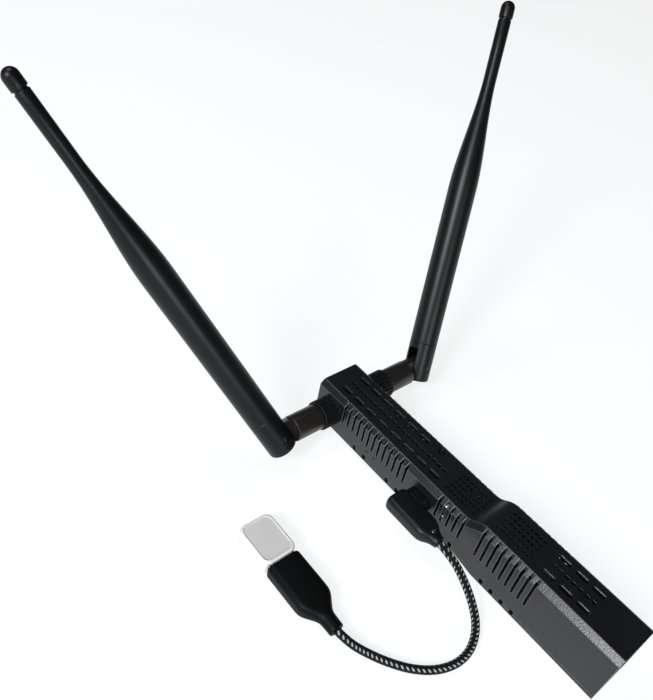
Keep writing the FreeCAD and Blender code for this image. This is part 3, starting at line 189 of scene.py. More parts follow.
def spark_eroded_abs():
    """ABS from a spark-eroded mould: near black, dry and pitted all over, with a pale highlight painted along
    its long edges.

    The small holes of the two grids beside the ramp have crisp rims, and the slots have blunt ones.
    The real pits are about 0.1 mm across. They are drawn at 0.7 mm, so that they show as a grain."""
    made, tree, place = material("spark_eroded_abs")
    clouds = add(tree, "TexNoise", {"Vector": place, "Scale": per_mm(CASE_CLOUDS), "Detail": 5.0})
    share = add(tree, "MapRange", {"Value": clouds, **NOISE})
    body = add(tree, "Mix", {"Factor": share, "A": tone("#0d0d0e"), "B": tone("#131314")}, data_type="RGBA")
    blunt = add(tree, "Bevel", {"Radius": BLUNT_EDGE / 1000}, samples=8)
    crisp = add(tree, "Bevel", {"Radius": CRISP_EDGE / 1000}, samples=4)

    # Masks of the long edges and of the ends past the grids, from the place on the case
    spot = add(tree, "SeparateXYZ", {"Vector": place})
    across = add(tree, "Math", {0: spot.outputs["X"]}, operation="ABSOLUTE")
    flat_half = COVER_HIGH.x - CASE_BEVEL
    outer = add(tree, "MapRange", {"Value": across, "From Min": (flat_half - 1.0) / 1000,
                                   "From Max": (flat_half - 0.4) / 1000})
    grids_middle = (GRIDS_FROM + GRIDS_TO) / 2
    grids_half = (GRIDS_TO - GRIDS_FROM) / 2
    from_grids = add(tree, "Math", {0: spot.outputs["Y"], 1: grids_middle / 1000}, operation="SUBTRACT")
    along = add(tree, "Math", {0: from_grids}, operation="ABSOLUTE")
    past_grids = add(tree, "MapRange", {"Value": along, "From Min": (grids_half + 1.4) / 1000,
                                        "From Max": (grids_half + 1.8) / 1000})
    rounder = add(tree, "Math", {0: outer, 1: past_grids}, operation="MAXIMUM")
    edge = add(tree, "Mix", {"Factor": rounder, "A": crisp, "B": blunt}, data_type="VECTOR")

    # Painted highlight: a pale colour where a rounded edge only begins to bend
    face = add(tree, "NewGeometry").outputs["Normal"]
    bend = add(tree, "VectorMath", {0: blunt, 1: face}, operation="DOT_PRODUCT")
    begin = add(tree, "MapRange", {"Value": bend, "From Min": 0.995, "From Max": 0.95})
    fade = add(tree, "MapRange", {"Value": bend, "From Min": 0.8, "From Max": 0.9})
    blunt_edge = add(tree, "Math", {0: begin, 1: fade}, operation="MULTIPLY")
    painted_highlight = add(tree, "Math", {0: blunt_edge, 1: outer}, operation="MULTIPLY")
    shade = add(tree, "Mix", {"Factor": painted_highlight, "A": body, "B": tone("#5c5d60")}, data_type="RGBA")

    pits = add(tree, "TexVoronoi", {"Vector": place, "Scale": per_mm(CASE_PITS)})
    grain = add(tree, "TexNoise", {"Vector": place, "Scale": per_mm(CASE_GRAIN), "Detail": 3.0,
                                   "Roughness": 0.65})
    rough = add(tree, "Math", {0: pits, 1: grain}, operation="MULTIPLY")
    gloss = add(tree, "MapRange", {"Value": grain, **NOISE, "To Min": 0.27, "To Max": 0.39})
    relief = add(tree, "Bump", {"Height": rough, "Distance": PIT_DEPTH / 1000, "Normal": edge})
    skin = add(tree, "BsdfPrincipled", {"Base Color": shade, "Roughness": gloss, "IOR": 1.5,
                                        "Normal": relief})
    add(tree, "OutputMaterial", {"Surface": skin})
    return made


# The braid: its flecks' pitch, rows, start as a share of a row, slant and half sizes, then its yarns
FLECK_PITCH = 1.9
FLECK_ROWS = 4
FLECK_START = 0.85
FLECK_SLANT = 40
FLECK_HALVES = (0.36, 0.85)
YARNS_ROUND = 12
YARN_DEPTH = 0.15


def braided_polyester():
    """Braided polyester sleeve: black yarns that cross, and pale flecks where a tracer yarn comes on top.

    A fleck of 1.6 by 0.7 mm comes every 1.9 mm along the 98.9 mm lead, in four rows round it."""
    made, tree, place = material("braided_polyester", "UV")
    repeats = round(CORD_LENGTH / FLECK_PITCH)
    row_pitch = 2 * math.pi * CORD_RADIUS / FLECK_ROWS
    spot = add(tree, "SeparateXYZ", {"Vector": place})
    along = add(tree, "Math", {0: spot.outputs["X"], 1: repeats}, operation="MULTIPLY")
    round_it = add(tree, "Math", {0: spot.outputs["Y"], 1: FLECK_ROWS, 2: FLECK_START},
                   operation="MULTIPLY_ADD")
    step_along = add(tree, "Math", {0: along}, operation="FRACT")
    step_round = add(tree, "Math", {0: round_it}, operation="FRACT")
    cell = add(tree, "CombineXYZ", {"X": step_along, "Y": step_round})
    centred = add(tree, "VectorMath", {0: cell, 1: (0.5, 0.5, 0.0)}, operation="SUBTRACT")
    turned = add(tree, "Mapping", {"Vector": centred, "Rotation": (0, 0, math.radians(FLECK_SLANT)),
                                   "Scale": (FLECK_PITCH, row_pitch, 1)})
    shares = (1 / FLECK_HALVES[0], 1 / FLECK_HALVES[1], 1)
    fleck = add(tree, "Mapping", {"Vector": turned, "Scale": shares})
    away = add(tree, "VectorMath", {0: fleck}, operation="LENGTH")
    pale = add(tree, "MapRange", {"Value": away, "From Min": 1.1, "From Max": 0.75})
    shade = add(tree, "Mix", {"Factor": pale, "A": tone("#060606"), "B": tone("#a2a2a0")}, data_type="RGBA")

    # Two sets of yarns cross, and each comes on top in turn
    crowns = []
    for way in (YARNS_ROUND, -YARNS_ROUND):
        slant = add(tree, "Math", {0: spot.outputs["Y"], 1: way}, operation="MULTIPLY")
        yarn = add(tree, "Math", {0: along, 1: 2.0, 2: slant}, operation="MULTIPLY_ADD")
        half_turns = add(tree, "Math", {0: yarn, 1: math.pi}, operation="MULTIPLY")
        wave = add(tree, "Math", {0: half_turns}, operation="COSINE")
        crowns.append(add(tree, "Math", {0: wave}, operation="ABSOLUTE"))
    crossing = add(tree, "Math", {0: along, 1: 4 * math.pi}, operation="MULTIPLY")
    over = add(tree, "Math", {0: crossing}, operation="COSINE")
    which = add(tree, "MapRange", {"Value": over, "From Min": -0.4, "From Max": 0.4})
    weave = add(tree, "Mix", {"Factor": which, "A": crowns[0], "B": crowns[1]}, data_type="FLOAT")
    height = add(tree, "Math", {0: pale, 1: 0.5, 2: weave}, operation="MULTIPLY_ADD")
    relief = add(tree, "Bump", {"Height": height, "Distance": YARN_DEPTH / 1000})
    skin = add(tree, "BsdfPrincipled", {"Base Color": shade, "Roughness": 0.6,
                                        "Specular IOR Level": 0.2, "Normal": relief})
    add(tree, "OutputMaterial", {"Surface": skin})
    return made


# How far the board's tracks stand up
TRACK_RISE = 0.02


def solder_mask():
    """Green solder mask on an etched circuit board: glossy, with tracks that stand up a little under it.

    The real tracks are about 0.2 mm apart. They are drawn 0.9 mm apart, so that they show."""
    made, tree, place = material("green_solder_mask")
    tracks = add(tree, "TexBrick", {"Vector": place, "Scale": per_mm(4.17), "Mortar Size": 0.06,
                                    "Brick Width": 0.9, "Row Height": 0.22}).outputs["Fac"]
    clouds = add(tree, "TexNoise", {"Vector": place, "Scale": per_mm(3.33), "Detail": 3.0})
    mask = add(tree, "Mix", {"Factor": clouds, "A": tone("#07200f"), "B": tone("#0a2a15")}, data_type="RGBA")
    shade = add(tree, "Mix", {"Factor": tracks, "A": mask, "B": tone("#11402a")}, data_type="RGBA")
    relief = add(tree, "Bump", {"Height": tracks, "Distance": TRACK_RISE / 1000})
    skin = add(tree, "BsdfPrincipled", {"Base Color": shade, "Roughness": 0.32, "Normal": relief})
    add(tree, "OutputMaterial", {"Surface": skin})
    return made


def acrylic(name, dark, light, clear):
    """Moulded acrylic: glassy, with a faint haze inside."""
    made, tree, place = material(name)
    haze = add(tree, "TexNoise", {"Vector": place, "Scale": per_mm(2.5), "Detail": 2.0})
    shade = add(tree, "Mix", {"Factor": haze, "A": tone(dark), "B": tone(light)}, data_type="RGBA")
    gloss = add(tree, "MapRange", {"Value": haze, "To Min": 0.08, "To Max": 0.2})
    skin = add(tree, "BsdfPrincipled", {"Base Color": shade, "Roughness": gloss,
                                        "IOR": 1.49, "Transmission Weight": clear})
    add(tree, "OutputMaterial", {"Surface": skin})
    return made


def lit_acrylic(name, strength):
    """Frosted acrylic with a cool white light behind it."""
    made, tree, place = material(name)
    frost = add(tree, "TexNoise", {"Vector": place, "Scale": per_mm(0.4), "Detail": 2.0})
    shade = add(tree, "Mix", {"Factor": frost, "A": tone("#e6eef5"), "B": tone("#ffffff")}, data_type="RGBA")
    skin = add(tree, "BsdfPrincipled", {"Base Color": shade, "Roughness": 0.3,
                                        "Emission Color": tone("#f2f7ff"), "Emission Strength": strength})
    add(tree, "OutputMaterial", {"Surface": skin})
    return made


# ABS, moulded in a spark-eroded tool: the dry, pitted black of the case
CASE = spark_eroded_abs()
# ABS, moulded in a polished tool: deep black with a satin streak of light
ANTENNA = moulded("satin_black_abs", "#050607", "#0a0b0c", 0.5, 0.012, 0.38, 0.2, 0.25)
# Acetal, moulded: warmer and a little paler than the ABS beside it
BARREL = moulded("warm_black_acetal", "#15110f", "#1c1715", 0.8, 0.006, 0.34)
# ABS, moulded in a coarser tool: the ribs stay dark and dry
COLLAR = moulded("dry_black_abs", "#060606", "#0b0b0b", 0.3, 0.015, 0.55, 0.2, 0.18)
# PVC, moulded over the wires: deep black, with a soft gloss on its round shoulders
OVERMOULD = moulded("black_pvc", "#050505", "#0a0a0a", 0.25, 0.008, 0.42, 0.3, 0.3)
# The same PVC, darker and duller, at the lead's far end: a shaded copy that paints shade on the connector
SHADED_PVC = moulded("shaded_black_pvc", "#020202", "#040404", 0.25, 0.006, 0.5, 0.3, 0.12)
# ABS, moulded in a polished tool: clean, white and glossy
WHITE_ABS = moulded("polished_white_abs", "#dad6d0", "#e0dcd6", 3.0, 0.003, 0.2, 0.3)
# The same ABS, greyer and flat, on the panel sunk into the cap's top
FROSTED_ABS = moulded("frosted_white_abs", "#c1bdb7", "#c9c5bf", 0.2, 0.008, 0.5, 0.2)
# Nitrile rubber, moulded: dull, dark grey
RUBBER = moulded("nitrile_rubber", "#0d0d0d", "#171717", 0.4, 0.02, 0.75)
# Epoxy, moulded round chips, cores and inserts: flat black
EPOXY = moulded("black_epoxy", "#151516", "#1e1e1f", 0.3, 0.015, 0.55, 0.1)
# Tinned steel, drawn along Y: pale, with long fine lines
TINNED = metal("tinned_steel", "#a9a9ab", "#c4c4c6", 0.26, (1.0, 0.15, 1.0))
# Black-oxide steel, turned: dark and slightly oily
OXIDE = metal("black_oxide_steel", "#5a5a5c", "#6c6c6e", 0.4)
# Brass with a flash of gold: contacts, jacks and nuts
GOLD = metal("gold_flashed_brass", "#b98a3c", "#d8ab5c", 0.24)
# Aluminium, drawn upwards into cans and left bare
ALUMINIUM = metal("drawn_aluminium", "#a5a6a8", "#bfc0c2", 0.3, (1.0, 1.0, 0.2))
# Solder mask, screen printed over etched copper: glossy green
BOARD = solder_mask()
# Acrylic, moulded clear: the light guide
ACRYLIC = acrylic("clear_acrylic", "#b9bfc4", "#d5dade", 0.6)
# Acrylic with a black tint: the plug's lens looks like a dark eye while its light is off
SMOKED = acrylic("smoked_acrylic", "#0c0d0e", "#151617", 0.2)
# Acrylic, moulded and frosted: the bright end of the light guide, and the light chip below it
LIGHT_END = lit_acrylic("lit_acrylic_end", 1.6)
LIGHT_CHIP = lit_acrylic("lit_light_chip", 1.0)
# Polyester, braided: black with pale flecks
BRAID = braided_polyester()

# CAD nodes that keep their own mesh, by material
CAD_MATERIALS = (
    (CASE, "bottom_shell", "top_cover"),
    (BOARD, "main_board", "controller_module", "first_radio_module", "second_radio_module"),
    (TINNED, "network_jack_shield", "controller_shield", "first_radio_shield", "second_radio_shield",
     "usb_socket_shell", "usb_plug_shell"),
    (EPOXY, "network_jack_insert", "usb_socket_tongue", "network_transformer", "power_transformer",
     "mode_switch"),
    (ALUMINIUM, "power_capacitors"),
    (LIGHT_CHIP, "status_led"),
    (WHITE_ABS, "usb_connector_block"),
    (GOLD, "left_antenna_jack", "right_antenna_jack", "left_radiator", "right_radiator"),
    (RUBBER, "left_coax_lead", "right_coax_lead"),
)
for node_skin, *node_names in CAD_MATERIALS:
    for node_name in node_names:
        node_slots = frame["nodes"][node_name].data.materials
        node_slots.clear()
        node_slots.append(node_skin)

# Mesh helpers

MM = Matrix.Scale(0.001, 4)
SHARP = math.radians(32)
ALONG_Y = Matrix.Rotation(math.radians(-90), 4, "X")
ALONG_X = Matrix.Rotation(math.radians(90), 4, "Y")
OUT_LEFT = Matrix.Rotation(math.radians(-90), 4, "Y")
ACROSS = Matrix.Rotation(math.radians(90), 4, "X")


def new_object(name, data):
    """A new object in the scene."""
    made = bpy.data.objects.new(name, data)
    scene.collection.objects.link(made)
    return made


def piece(name, bm, place, body, nodes, skins):
    """Turn a bmesh built in mm into an object that rides on a body and replaces its CAD nodes."""
    bmesh.ops.remove_doubles(bm, verts=bm.verts, dist=1e-5)
    bmesh.ops.recalc_face_normals(bm, faces=bm.faces)
    for face in bm.faces:
        face.smooth = True
    for edge in bm.edges:
        edge.smooth = len(edge.link_faces) == 2 and edge.calc_face_angle(0.0) < SHARP
    bm.transform(MM @ place)
    mesh = bpy.data.meshes.new(name)
    bm.to_mesh(mesh)
    bm.free()
    for skin in skins:
        mesh.materials.append(skin)
    made = new_object(name, mesh)
    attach(made, body)
    if nodes:
        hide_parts(*nodes)
    return made


def absorb(bm, part, place=Matrix()):
    """Move a second bmesh into the first one, at a place."""
    part.transform(place)
    spare = bpy.data.meshes.new("absorbed")
    part.to_mesh(spare)
    part.free()
    bm.from_mesh(spare)


def rounded(points, steps=4):
    """A profile of (s, r) points in which a third number rounds that corner."""
    out = []
    for i, point in enumerate(points):
        if len(point) == 2 or i in (0, len(points) - 1):
            out.append(Vector(point[:2]))
            continue
        here = Vector(point[:2])
        back = (Vector(points[i - 1][:2]) - here).normalized()
        on = (Vector(points[i + 1][:2]) - here).normalized()
        half = back.angle(on) / 2
        reach = point[2] / math.tan(half)
        centre = here + (back + on).normalized() * (point[2] / math.sin(half))
        first, last = here + back * reach - centre, here + on * reach - centre
        turn = first.angle_signed(last)
        for k in range(steps + 1):
            angle = turn * k / steps
            c, s = math.cos(angle), math.sin(angle)
            out.append(centre + Vector((first.x * c + first.y * s, first.y * c - first.x * s)))
    return out


def smooth(t):
    """A share from 0 to 1 that eases in and out."""
    return t * t * (3 - 2 * t)


def arc(s, r, radius, start, stop, steps=6):
    """Points on an arc round (s, r), by angle from +s towards +r."""
    angles = [math.radians(start + (stop - start) * k / steps) for k in range(steps + 1)]
    return [(s + radius * math.cos(a), r + radius * math.sin(a)) for a in angles]


def lathe(profile, segments=64, closed=False, shape=None):
    """Turn a profile of (s, r) about +Z. A shape function may change a point's radius with its angle."""
    bm = bmesh.new()
    rings = []
    for s, r in profile:
        if r < 1e-6:
            rings.append([bm.verts.new((0, 0, s))])
            continue
        ring = []
        for k in range(segments):
            a = 2 * math.pi * k / segments
            radius = shape(s, r, a) if shape else r
            ring.append(bm.verts.new((radius * math.cos(a), radius * math.sin(a), s)))
        rings.append(ring)
    pairs = list(zip(rings, rings[1:]))
    if closed:
        pairs.append((rings[-1], rings[0]))
    for low, high in pairs:
        for k in range(segments):
            n = (k + 1) % segments
            quad = [low[k % len(low)], low[n % len(low)], high[n % len(high)], high[k % len(high)]]
            around = [v for i, v in enumerate(quad) if v not in quad[:i]]
            if len(around) > 2:
                bm.faces.new(around)
    return bm


def rounded_rect(width, height, corner, steps=6):
    """Points round a rounded rectangle, in order."""
    corner = min(corner, 0.495 * width, 0.495 * height)
    out = []
    for cx, cy, start in ((1, 1, 0), (-1, 1, 90), (-1, -1, 180), (1, -1, 270)):
        for k in range(steps + 1):
            a = math.radians(start + 90 * k / steps)
            out.append((cx * (width / 2 - corner) + corner * math.cos(a),
                        cy * (height / 2 - corner) + corner * math.sin(a)))
    return out


def join_rings(bm, rings):
    """Join rings of points with faces, and close both ends."""
    for low, high in zip(rings, rings[1:]):
        for k in range(len(low)):
            n = (k + 1) % len(low)
            bm.faces.new((low[k], low[n], high[n], high[k]))
    bm.faces.new(rings[0][::-1])
    bm.faces.new(rings[-1])


def loft(sections, steps=6):
    """Join rounded rectangles (s, width, height, corner, across, up) along +Z."""
    bm = bmesh.new()
    rings = []
    for s, width, height, corner, across, up in sections:
        points = rounded_rect(width, height, corner, steps)
        rings.append([bm.verts.new((x + across, y + up, s)) for x, y in points])
    join_rings(bm, rings)
    return bm


def along_y(rows, x, z):
    """Sections given as (y, width, height, corner), for a loft that ALONG_Y turns into place."""
    return [(y, width, height, corner, x, -z) for y, width, height, corner in rows]


def block(bm, low, high):
    """A cutting block or small chip between two corners."""
    for vert in bmesh.ops.create_cube(bm, size=1.0)["verts"]:
        vert.co = Vector([low[i] + (vert.co[i] + 0.5) * (high[i] - low[i]) for i in range(3)])


def drum(radius, depth, place, segments=32):
    """A cutting cylinder, as its own bmesh."""
    bm = bmesh.new()
    bmesh.ops.create_cone(bm, cap_ends=True, segments=segments, radius1=radius, radius2=radius, depth=depth)
    bm.transform(place)
    return bm


def carved(bm, cutters):
    """A bmesh with each cutting bmesh taken away from it."""
    def as_object(source):
        mesh = bpy.data.meshes.new("carving")
        bmesh.ops.recalc_face_normals(source, faces=source.faces)
        source.to_mesh(mesh)
        source.free()
        return new_object("carving", mesh)

    base = as_object(bm)
    tools = [as_object(cutter) for cutter in cutters]
    for tool in tools:
        step = base.modifiers.new("carve", "BOOLEAN")
        step.operation = "DIFFERENCE"
        step.solver = "EXACT"
        step.object = tool
    bpy.context.view_layer.update()
    shaped = base.evaluated_get(bpy.context.evaluated_depsgraph_get()).to_mesh()
    out = bmesh.new()
    out.from_mesh(shaped)
    for thing in [base] + tools:
        bpy.data.objects.remove(thing)
    return out


# Camera, from the picture's own perspective. Its place is in metres and its focal length in pixels.

CAMERA_AT = Vector((-0.19143, -0.03371, 0.26071))
FOCAL_PIXELS = 753.28
PICTURE_HEIGHT = 700
SENSOR = 36
RIGHT = Vector((0.766, -0.625, 0.152)).normalized()
FORWARD = Vector((0.546, 0.508, -0.666)).normalized()
UP = RIGHT.cross(FORWARD).normalized()
camera = new_object("camera", bpy.data.cameras.new("camera"))
camera.data.lens = FOCAL_PIXELS * SENSOR / PICTURE_HEIGHT
camera.data.clip_start = 0.01
camera.matrix_world = Matrix((
    (RIGHT.x, UP.x, -FORWARD.x, CAMERA_AT.x),
    (RIGHT.y, UP.y, -FORWARD.y, CAMERA_AT.y),
    (RIGHT.z, UP.z, -FORWARD.z, CAMERA_AT.z),
    (0, 0, 0, 1)))
scene.camera = camera

# The braided lead: its route from the plug's relief to the far connector, in mm

CORD_ROUTE = [
    (-20.2, 44.5, 13.0),
    (-20.5, 36.9, 12.8),
    (-22.0, 29.0, 10.8),
    (-24.2, 21.0, 7.6),
    (-27.8, 13.8, 4.1),
    (-34.6, 9.0, 2.1),
    (-43.0, 7.9, 1.7),
    (-51.6, 10.6, 1.7),
    (-59.0, 16.2, 1.7),
    (-64.9, 23.6, 1.9),
    (-69.4, 30.8, 2.6),
    (-72.5, 36.9, 3.6),
    (-73.3, 42.6, 4.0),
]


def braided_lead():
    """The braided sleeve, along its route."""
    curve = bpy.data.curves.new("braided_lead", "CURVE")
    curve.dimensions = "3D"
    spline = curve.splines.new("NURBS")
    spline.points.add(len(CORD_ROUTE) - 1)
    for point, spot in zip(spline.points, CORD_ROUTE):
        point.co = (spot[0] / 1000, spot[1] / 1000, spot[2] / 1000, 1.0)
    spline.order_u = 3
    spline.use_endpoint_u = True
    spline.resolution_u = 14
    curve.bevel_depth = CORD_RADIUS / 1000
    curve.bevel_resolution = 8
    curve.use_fill_caps = True
    curve.materials.append(BRAID)
    made = new_object("braided_lead", curve)
    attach(made, "hub")
    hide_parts("usb_cord")
    return made


lead = braided_lead()

# The straight connector at the lead's far end, with its shell and white cap

CONNECTOR_X, _, CONNECTOR_Z = middle("usb_connector_body")
CONNECTOR_WIDTH, CONNECTOR_HEIGHT = 15.1, 7.8
CONNECTOR_BODY = 19.0
WAIST_LENGTH = 9.6
RELIEF_WIDTH, RELIEF_HEIGHT = 6.2, 5.8
SHELL_SKIN = 0.3
WINDOW_SIDE, WINDOW_HALF, WINDOW_FROM, WINDOW_TO = 2.9, 1.25, 5.1, 7.4
CAP_CORNER = 3.4
CAP_FIT = 0.12
PANEL_DEPTH = 0.3


def connector_body():
    """Overmould with an even body, a waisted neck and a short round relief."""
    front, tail = CONNECTOR_HIGH.y, CONNECTOR_LOW.y
    shoulder = front - CONNECTOR_BODY
    rows = [(front - back, CONNECTOR_WIDTH - less, CONNECTOR_HEIGHT - less, corner)
            for back, less, corner in ((0, 1.2, 2.0), (0.15, 0.6, 2.2), (0.6, 0.1, 2.4), (1.2, 0, 2.4),
                                       (CONNECTOR_BODY - 2, 0, 2.4))]
    rows.append((shoulder, CONNECTOR_WIDTH - 0.1, CONNECTOR_HEIGHT - 0.05, 2.5))
    for k in range(1, 11):
        t = k / 10
        left = 1 - smooth(t)
        rows.append((shoulder - WAIST_LENGTH * t,
                     RELIEF_WIDTH + 0.3 + (CONNECTOR_WIDTH - RELIEF_WIDTH - 0.4) * left,
                     RELIEF_HEIGHT + 0.3 + (CONNECTOR_HEIGHT - RELIEF_HEIGHT - 0.35) * left,
                     2.5 + 0.6 * t))
    rows += [(tail + ahead, RELIEF_WIDTH + more, RELIEF_HEIGHT + more, corner)
             for ahead, more, corner in ((1.8, 0.1, 2.9), (0.4, 0, 2.85), (0.12, -0.3, 2.7), (0, -0.9, 2.4))]
    bm = loft(along_y(rows, CONNECTOR_X, CONNECTOR_Z), steps=8)
    return piece("connector_overmould", bm, ALONG_Y, "hub", ["usb_connector_body"], [SHADED_PVC])


def connector_shell():
    """Drawn steel shell with two latch windows in each broad face."""
    start, end = SHELL_LOW.y, SHELL_HIGH.y
    width, _, height = SHELL_HIGH - SHELL_LOW
    rows = [(start, width, height, 0.6), (end - 0.2, width, height, 0.6),
            (end, width - 0.1, height - 0.1, 0.6)]
    bm = loft(along_y(rows, CONNECTOR_X, CONNECTOR_Z))
    inside = (width - 2 * SHELL_SKIN, height - 2 * SHELL_SKIN, 0.4)
    rows = [(start - 0.2, *inside), (end + 0.5, *inside)]
    room = loft(along_y(rows, CONNECTOR_X, CONNECTOR_Z))
    windows = bmesh.new()
    for side in (-1, 1):
        x = CONNECTOR_X + side * WINDOW_SIDE
        block(windows, (x - WINDOW_HALF, start + WINDOW_FROM, CAP_LOW.z),
              (x + WINDOW_HALF, start + WINDOW_TO, CAP_HIGH.z))
    windows.transform(ALONG_Y.inverted())
    return piece("connector_shell", carved(bm, [room, windows]), ALONG_Y, "hub", ["usb_connector_shell"],
                 [TINNED])


def cap():
    """Rounded white cap with a frosted panel sunk into its top."""
    width, length, height = CAP_HIGH - CAP_LOW
    centre_y = (CAP_LOW.y + CAP_HIGH.y) / 2
    lower_edge = [(0, 1.0), (0.1, 0.65), (0.35, 0.3), (0.7, 0.08), (1.1, 0)]
    upper_edge = [(1.0, 0), (0.6, 0.1), (0.25, 0.35), (0.07, 0.7), (0, 1.0)]
    panel_edge = [(0.02, 1.15), (PANEL_DEPTH, 1.3)]
    rows = lower_edge + [(height - down, inset) for down, inset in upper_edge + panel_edge]
    bm = loft([(CAP_LOW.z + z, width - 2 * inset, length - 2 * inset, CAP_CORNER - 0.5 * inset,
                CONNECTOR_X, centre_y) for z, inset in rows])
    half_x = (SHELL_HIGH.x - SHELL_LOW.x) / 2 + CAP_FIT
    half_z = (SHELL_HIGH.z - SHELL_LOW.z) / 2 + CAP_FIT
    room = bmesh.new()
    block(room, (CONNECTOR_X - half_x, CAP_LOW.y - 1, CONNECTOR_Z - half_z),
          (CONNECTOR_X + half_x, SHELL_HIGH.y + 0.4, CONNECTOR_Z + half_z))
    bm = carved(bm, [room])
    for face in bm.faces:
        if face.normal.z > 0.99 and face.calc_center_median().z > CAP_HIGH.z - PANEL_DEPTH - 0.1:
            face.material_index = 1
    return piece("white_cap", bm, Matrix(), "connector_cap", ["connector_cap"], [WHITE_ABS, FROSTED_ABS])


connector = connector_body()
shell = connector_shell()
white_cap = cap()

# The angled plug at the case

PLUG_WIDTH, PLUG_HEIGHT = 10.8, 7.2
PLUG_X = PLUG_LOW.x + PLUG_WIDTH / 2
PLUG_Z = (PLUG_LOW.z + PLUG_HIGH.z) / 2
PORT_Y = middle("usb_socket_shell").y
LENS_AT = Vector((PLUG_X, PLUG_LOW.y + 4.3, PLUG_Z + 3.02))
LENS_DEPTH = 0.45
LENS_HOLE = 0.75


def plug_body():
    """Flat overmould that runs along the case, with a neck that turns into the socket and a sunk lens."""
    head, tail = PLUG_HIGH.y, PLUG_LOW.y
    head_rows = [(0, 3.4, 2.8, 1.8), (0.15, 2.0, 1.6, 2.0), (0.6, 0.9, 0.7, 2.1), (1.4, 0.2, 0.2, 2.1),
                 (2.4, 0, 0, 2.0)]
    rows = [(head - back, PLUG_WIDTH - narrower, PLUG_HEIGHT - lower, corner)
            for back, narrower, lower, corner in head_rows]
    tail_rows = [(9.5, 10.8, 7.2, 2.0), (7.5, 10.6, 7.1, 2.1), (6.6, 10.2, 6.9, 2.2), (5.6, 9.5, 6.6, 2.3),
                 (4.7, 8.5, 6.2, 2.4), (3.75, 7.3, 5.8, 2.4), (2.8, 6.5, 5.5, 2.4), (2.35, 6.2, 5.4, 2.4)]
    groove_rows = [(2.3, 5.8, 5.0, 2.2), (2.05, 5.7, 4.9, 2.2)]
    relief_rows = [(2.0, 6.0, 5.3, 2.4), (0.9, 5.5, 5.1, 2.4), (0.2, 5.35, 5.0, 2.4), (0, 4.9, 4.6, 2.2)]
    rows += [(tail + ahead, width, height, corner)
             for ahead, width, height, corner in tail_rows + groove_rows + relief_rows]
    bm = loft(along_y(rows, PLUG_X, PLUG_Z), steps=8)
    bm.transform(ALONG_Y)
    rim, sunk = -PLUG_HIGH.x, 0.8 - PLUG_LOW.x - PLUG_WIDTH
    neck_rows = [(rim, 5.8, 11.4, 2.9), (rim + 0.15, 6.4, 12.0, 3.2), (rim + 0.6, 6.6, 12.2, 3.3),
                 (sunk, 6.6, 12.2, 3.3)]
    neck = loft([(s, tall, wide, corner, 0, 0) for s, tall, wide, corner in neck_rows], steps=8)
    absorb(bm, neck, Matrix.Translation((0, PORT_Y, PLUG_Z)) @ OUT_LEFT)
    hole = drum(LENS_HOLE, 2 * LENS_DEPTH, Matrix.Translation(LENS_AT), 24)
    return piece("plug_overmould", carved(bm, [hole]), Matrix(), "hub", ["usb_plug_body"], [OVERMOULD])


def plug_lens():
    """The small dark lens of the plug's light, sunk in its hole, with a thin ring round it."""
    lens = 0.5
    bm = lathe([(0, 0), (0, lens), (0.2, lens), (0.32, 0.3), (0.36, 0)], 24)
    inner, outer, rise = lens + 0.02, LENS_HOLE - 0.01, 0.5
    ring = rounded([(0, inner), (rise, inner, 0.04), (rise, outer, 0.04), (0, outer)])
    absorb(bm, lathe(ring, 32, closed=True))
    for face in bm.faces:
        if face.calc_center_median().xy.length > lens + 0.01:
            face.material_index = 1
    floor = Matrix.Translation(LENS_AT - Vector((0, 0, LENS_DEPTH)))
    made = piece("plug_lens", bm, floor, "hub", [], [SMOKED, TINNED])
    return made


plug_body()
plug_lens()

# Antennas. A piece of the swivel is built along +Z and turned to +X, a paddle is built up from its pin.


def along_axis(part):
    """Where a part of the swivel starts and ends along the swivel's axis."""
    low, high = corners("right_" + part)
    return low.x, high.x


THREAD = 3.2
NUT_FLAT, NUT_CHAMFER, NUT_CORNER = 4.0, 4.25, 4.62
COLLAR_START, COLLAR_END = along_axis("collar")
COLLAR_RADIUS = 6.85
COLLAR_RIM = 0.7
RIBS, RIB_DEPTH, RIB_RUNOUT = 22, 0.45, 0.35
SPIGOT, SPIGOT_LENGTH = 4.2, 3.2
BARREL_START = COLLAR_END + 0.25
BARREL_END = PIN_X - 8.7
BARREL_RADIUS = 6.0
PLATE_HALF, PLATE_EDGE = 2.5, 0.25
PLATE_ROUND = 5.3
PIN_RADIUS = 1.15
AXIS_AT = Matrix.Translation((0, PIN_AT["right"].y, PIN_AT["right"].z))


def swivel_place(side, leaned=True):
    """From a piece built along +X to its place on a side of the case."""
    lean = Matrix.Rotation(math.radians(-LEAN[side]) if leaned else 0.0, 4, "X")
    turn = Matrix.Rotation(math.pi if side == "left" else 0.0, 4, "Z")
    return AXIS_AT @ lean @ turn


def paddle_place(side):
    """From a paddle built up along +Z from its pin to its place."""
    sign = -1 if side == "left" else 1
    lean = Matrix.Rotation(math.radians(-LEAN[side]), 4, "X")
    tilt = Matrix.Rotation(math.radians(sign * (90 - TILT[side])), 4, "Y")
    face = Matrix.Rotation(math.pi if side == "right" else 0.0, 4, "Z")
    return Matrix.Translation(PIN_AT[side]) @ lean @ tilt @ face


def washer(side):
    """Rubber washer with rounded edges."""
    start, end = along_axis("jack_washer")
    profile = rounded([(start, THREAD), (start, 6.4, 0.2), (end, 6.4, 0.2), (end, THREAD)])
    bm = lathe(profile, 64, closed=True)
    place = swivel_place(side, False) @ ALONG_X
    return piece(side + "_washer_ring", bm, place, "hub", [side + "_jack_washer"], [RUBBER])


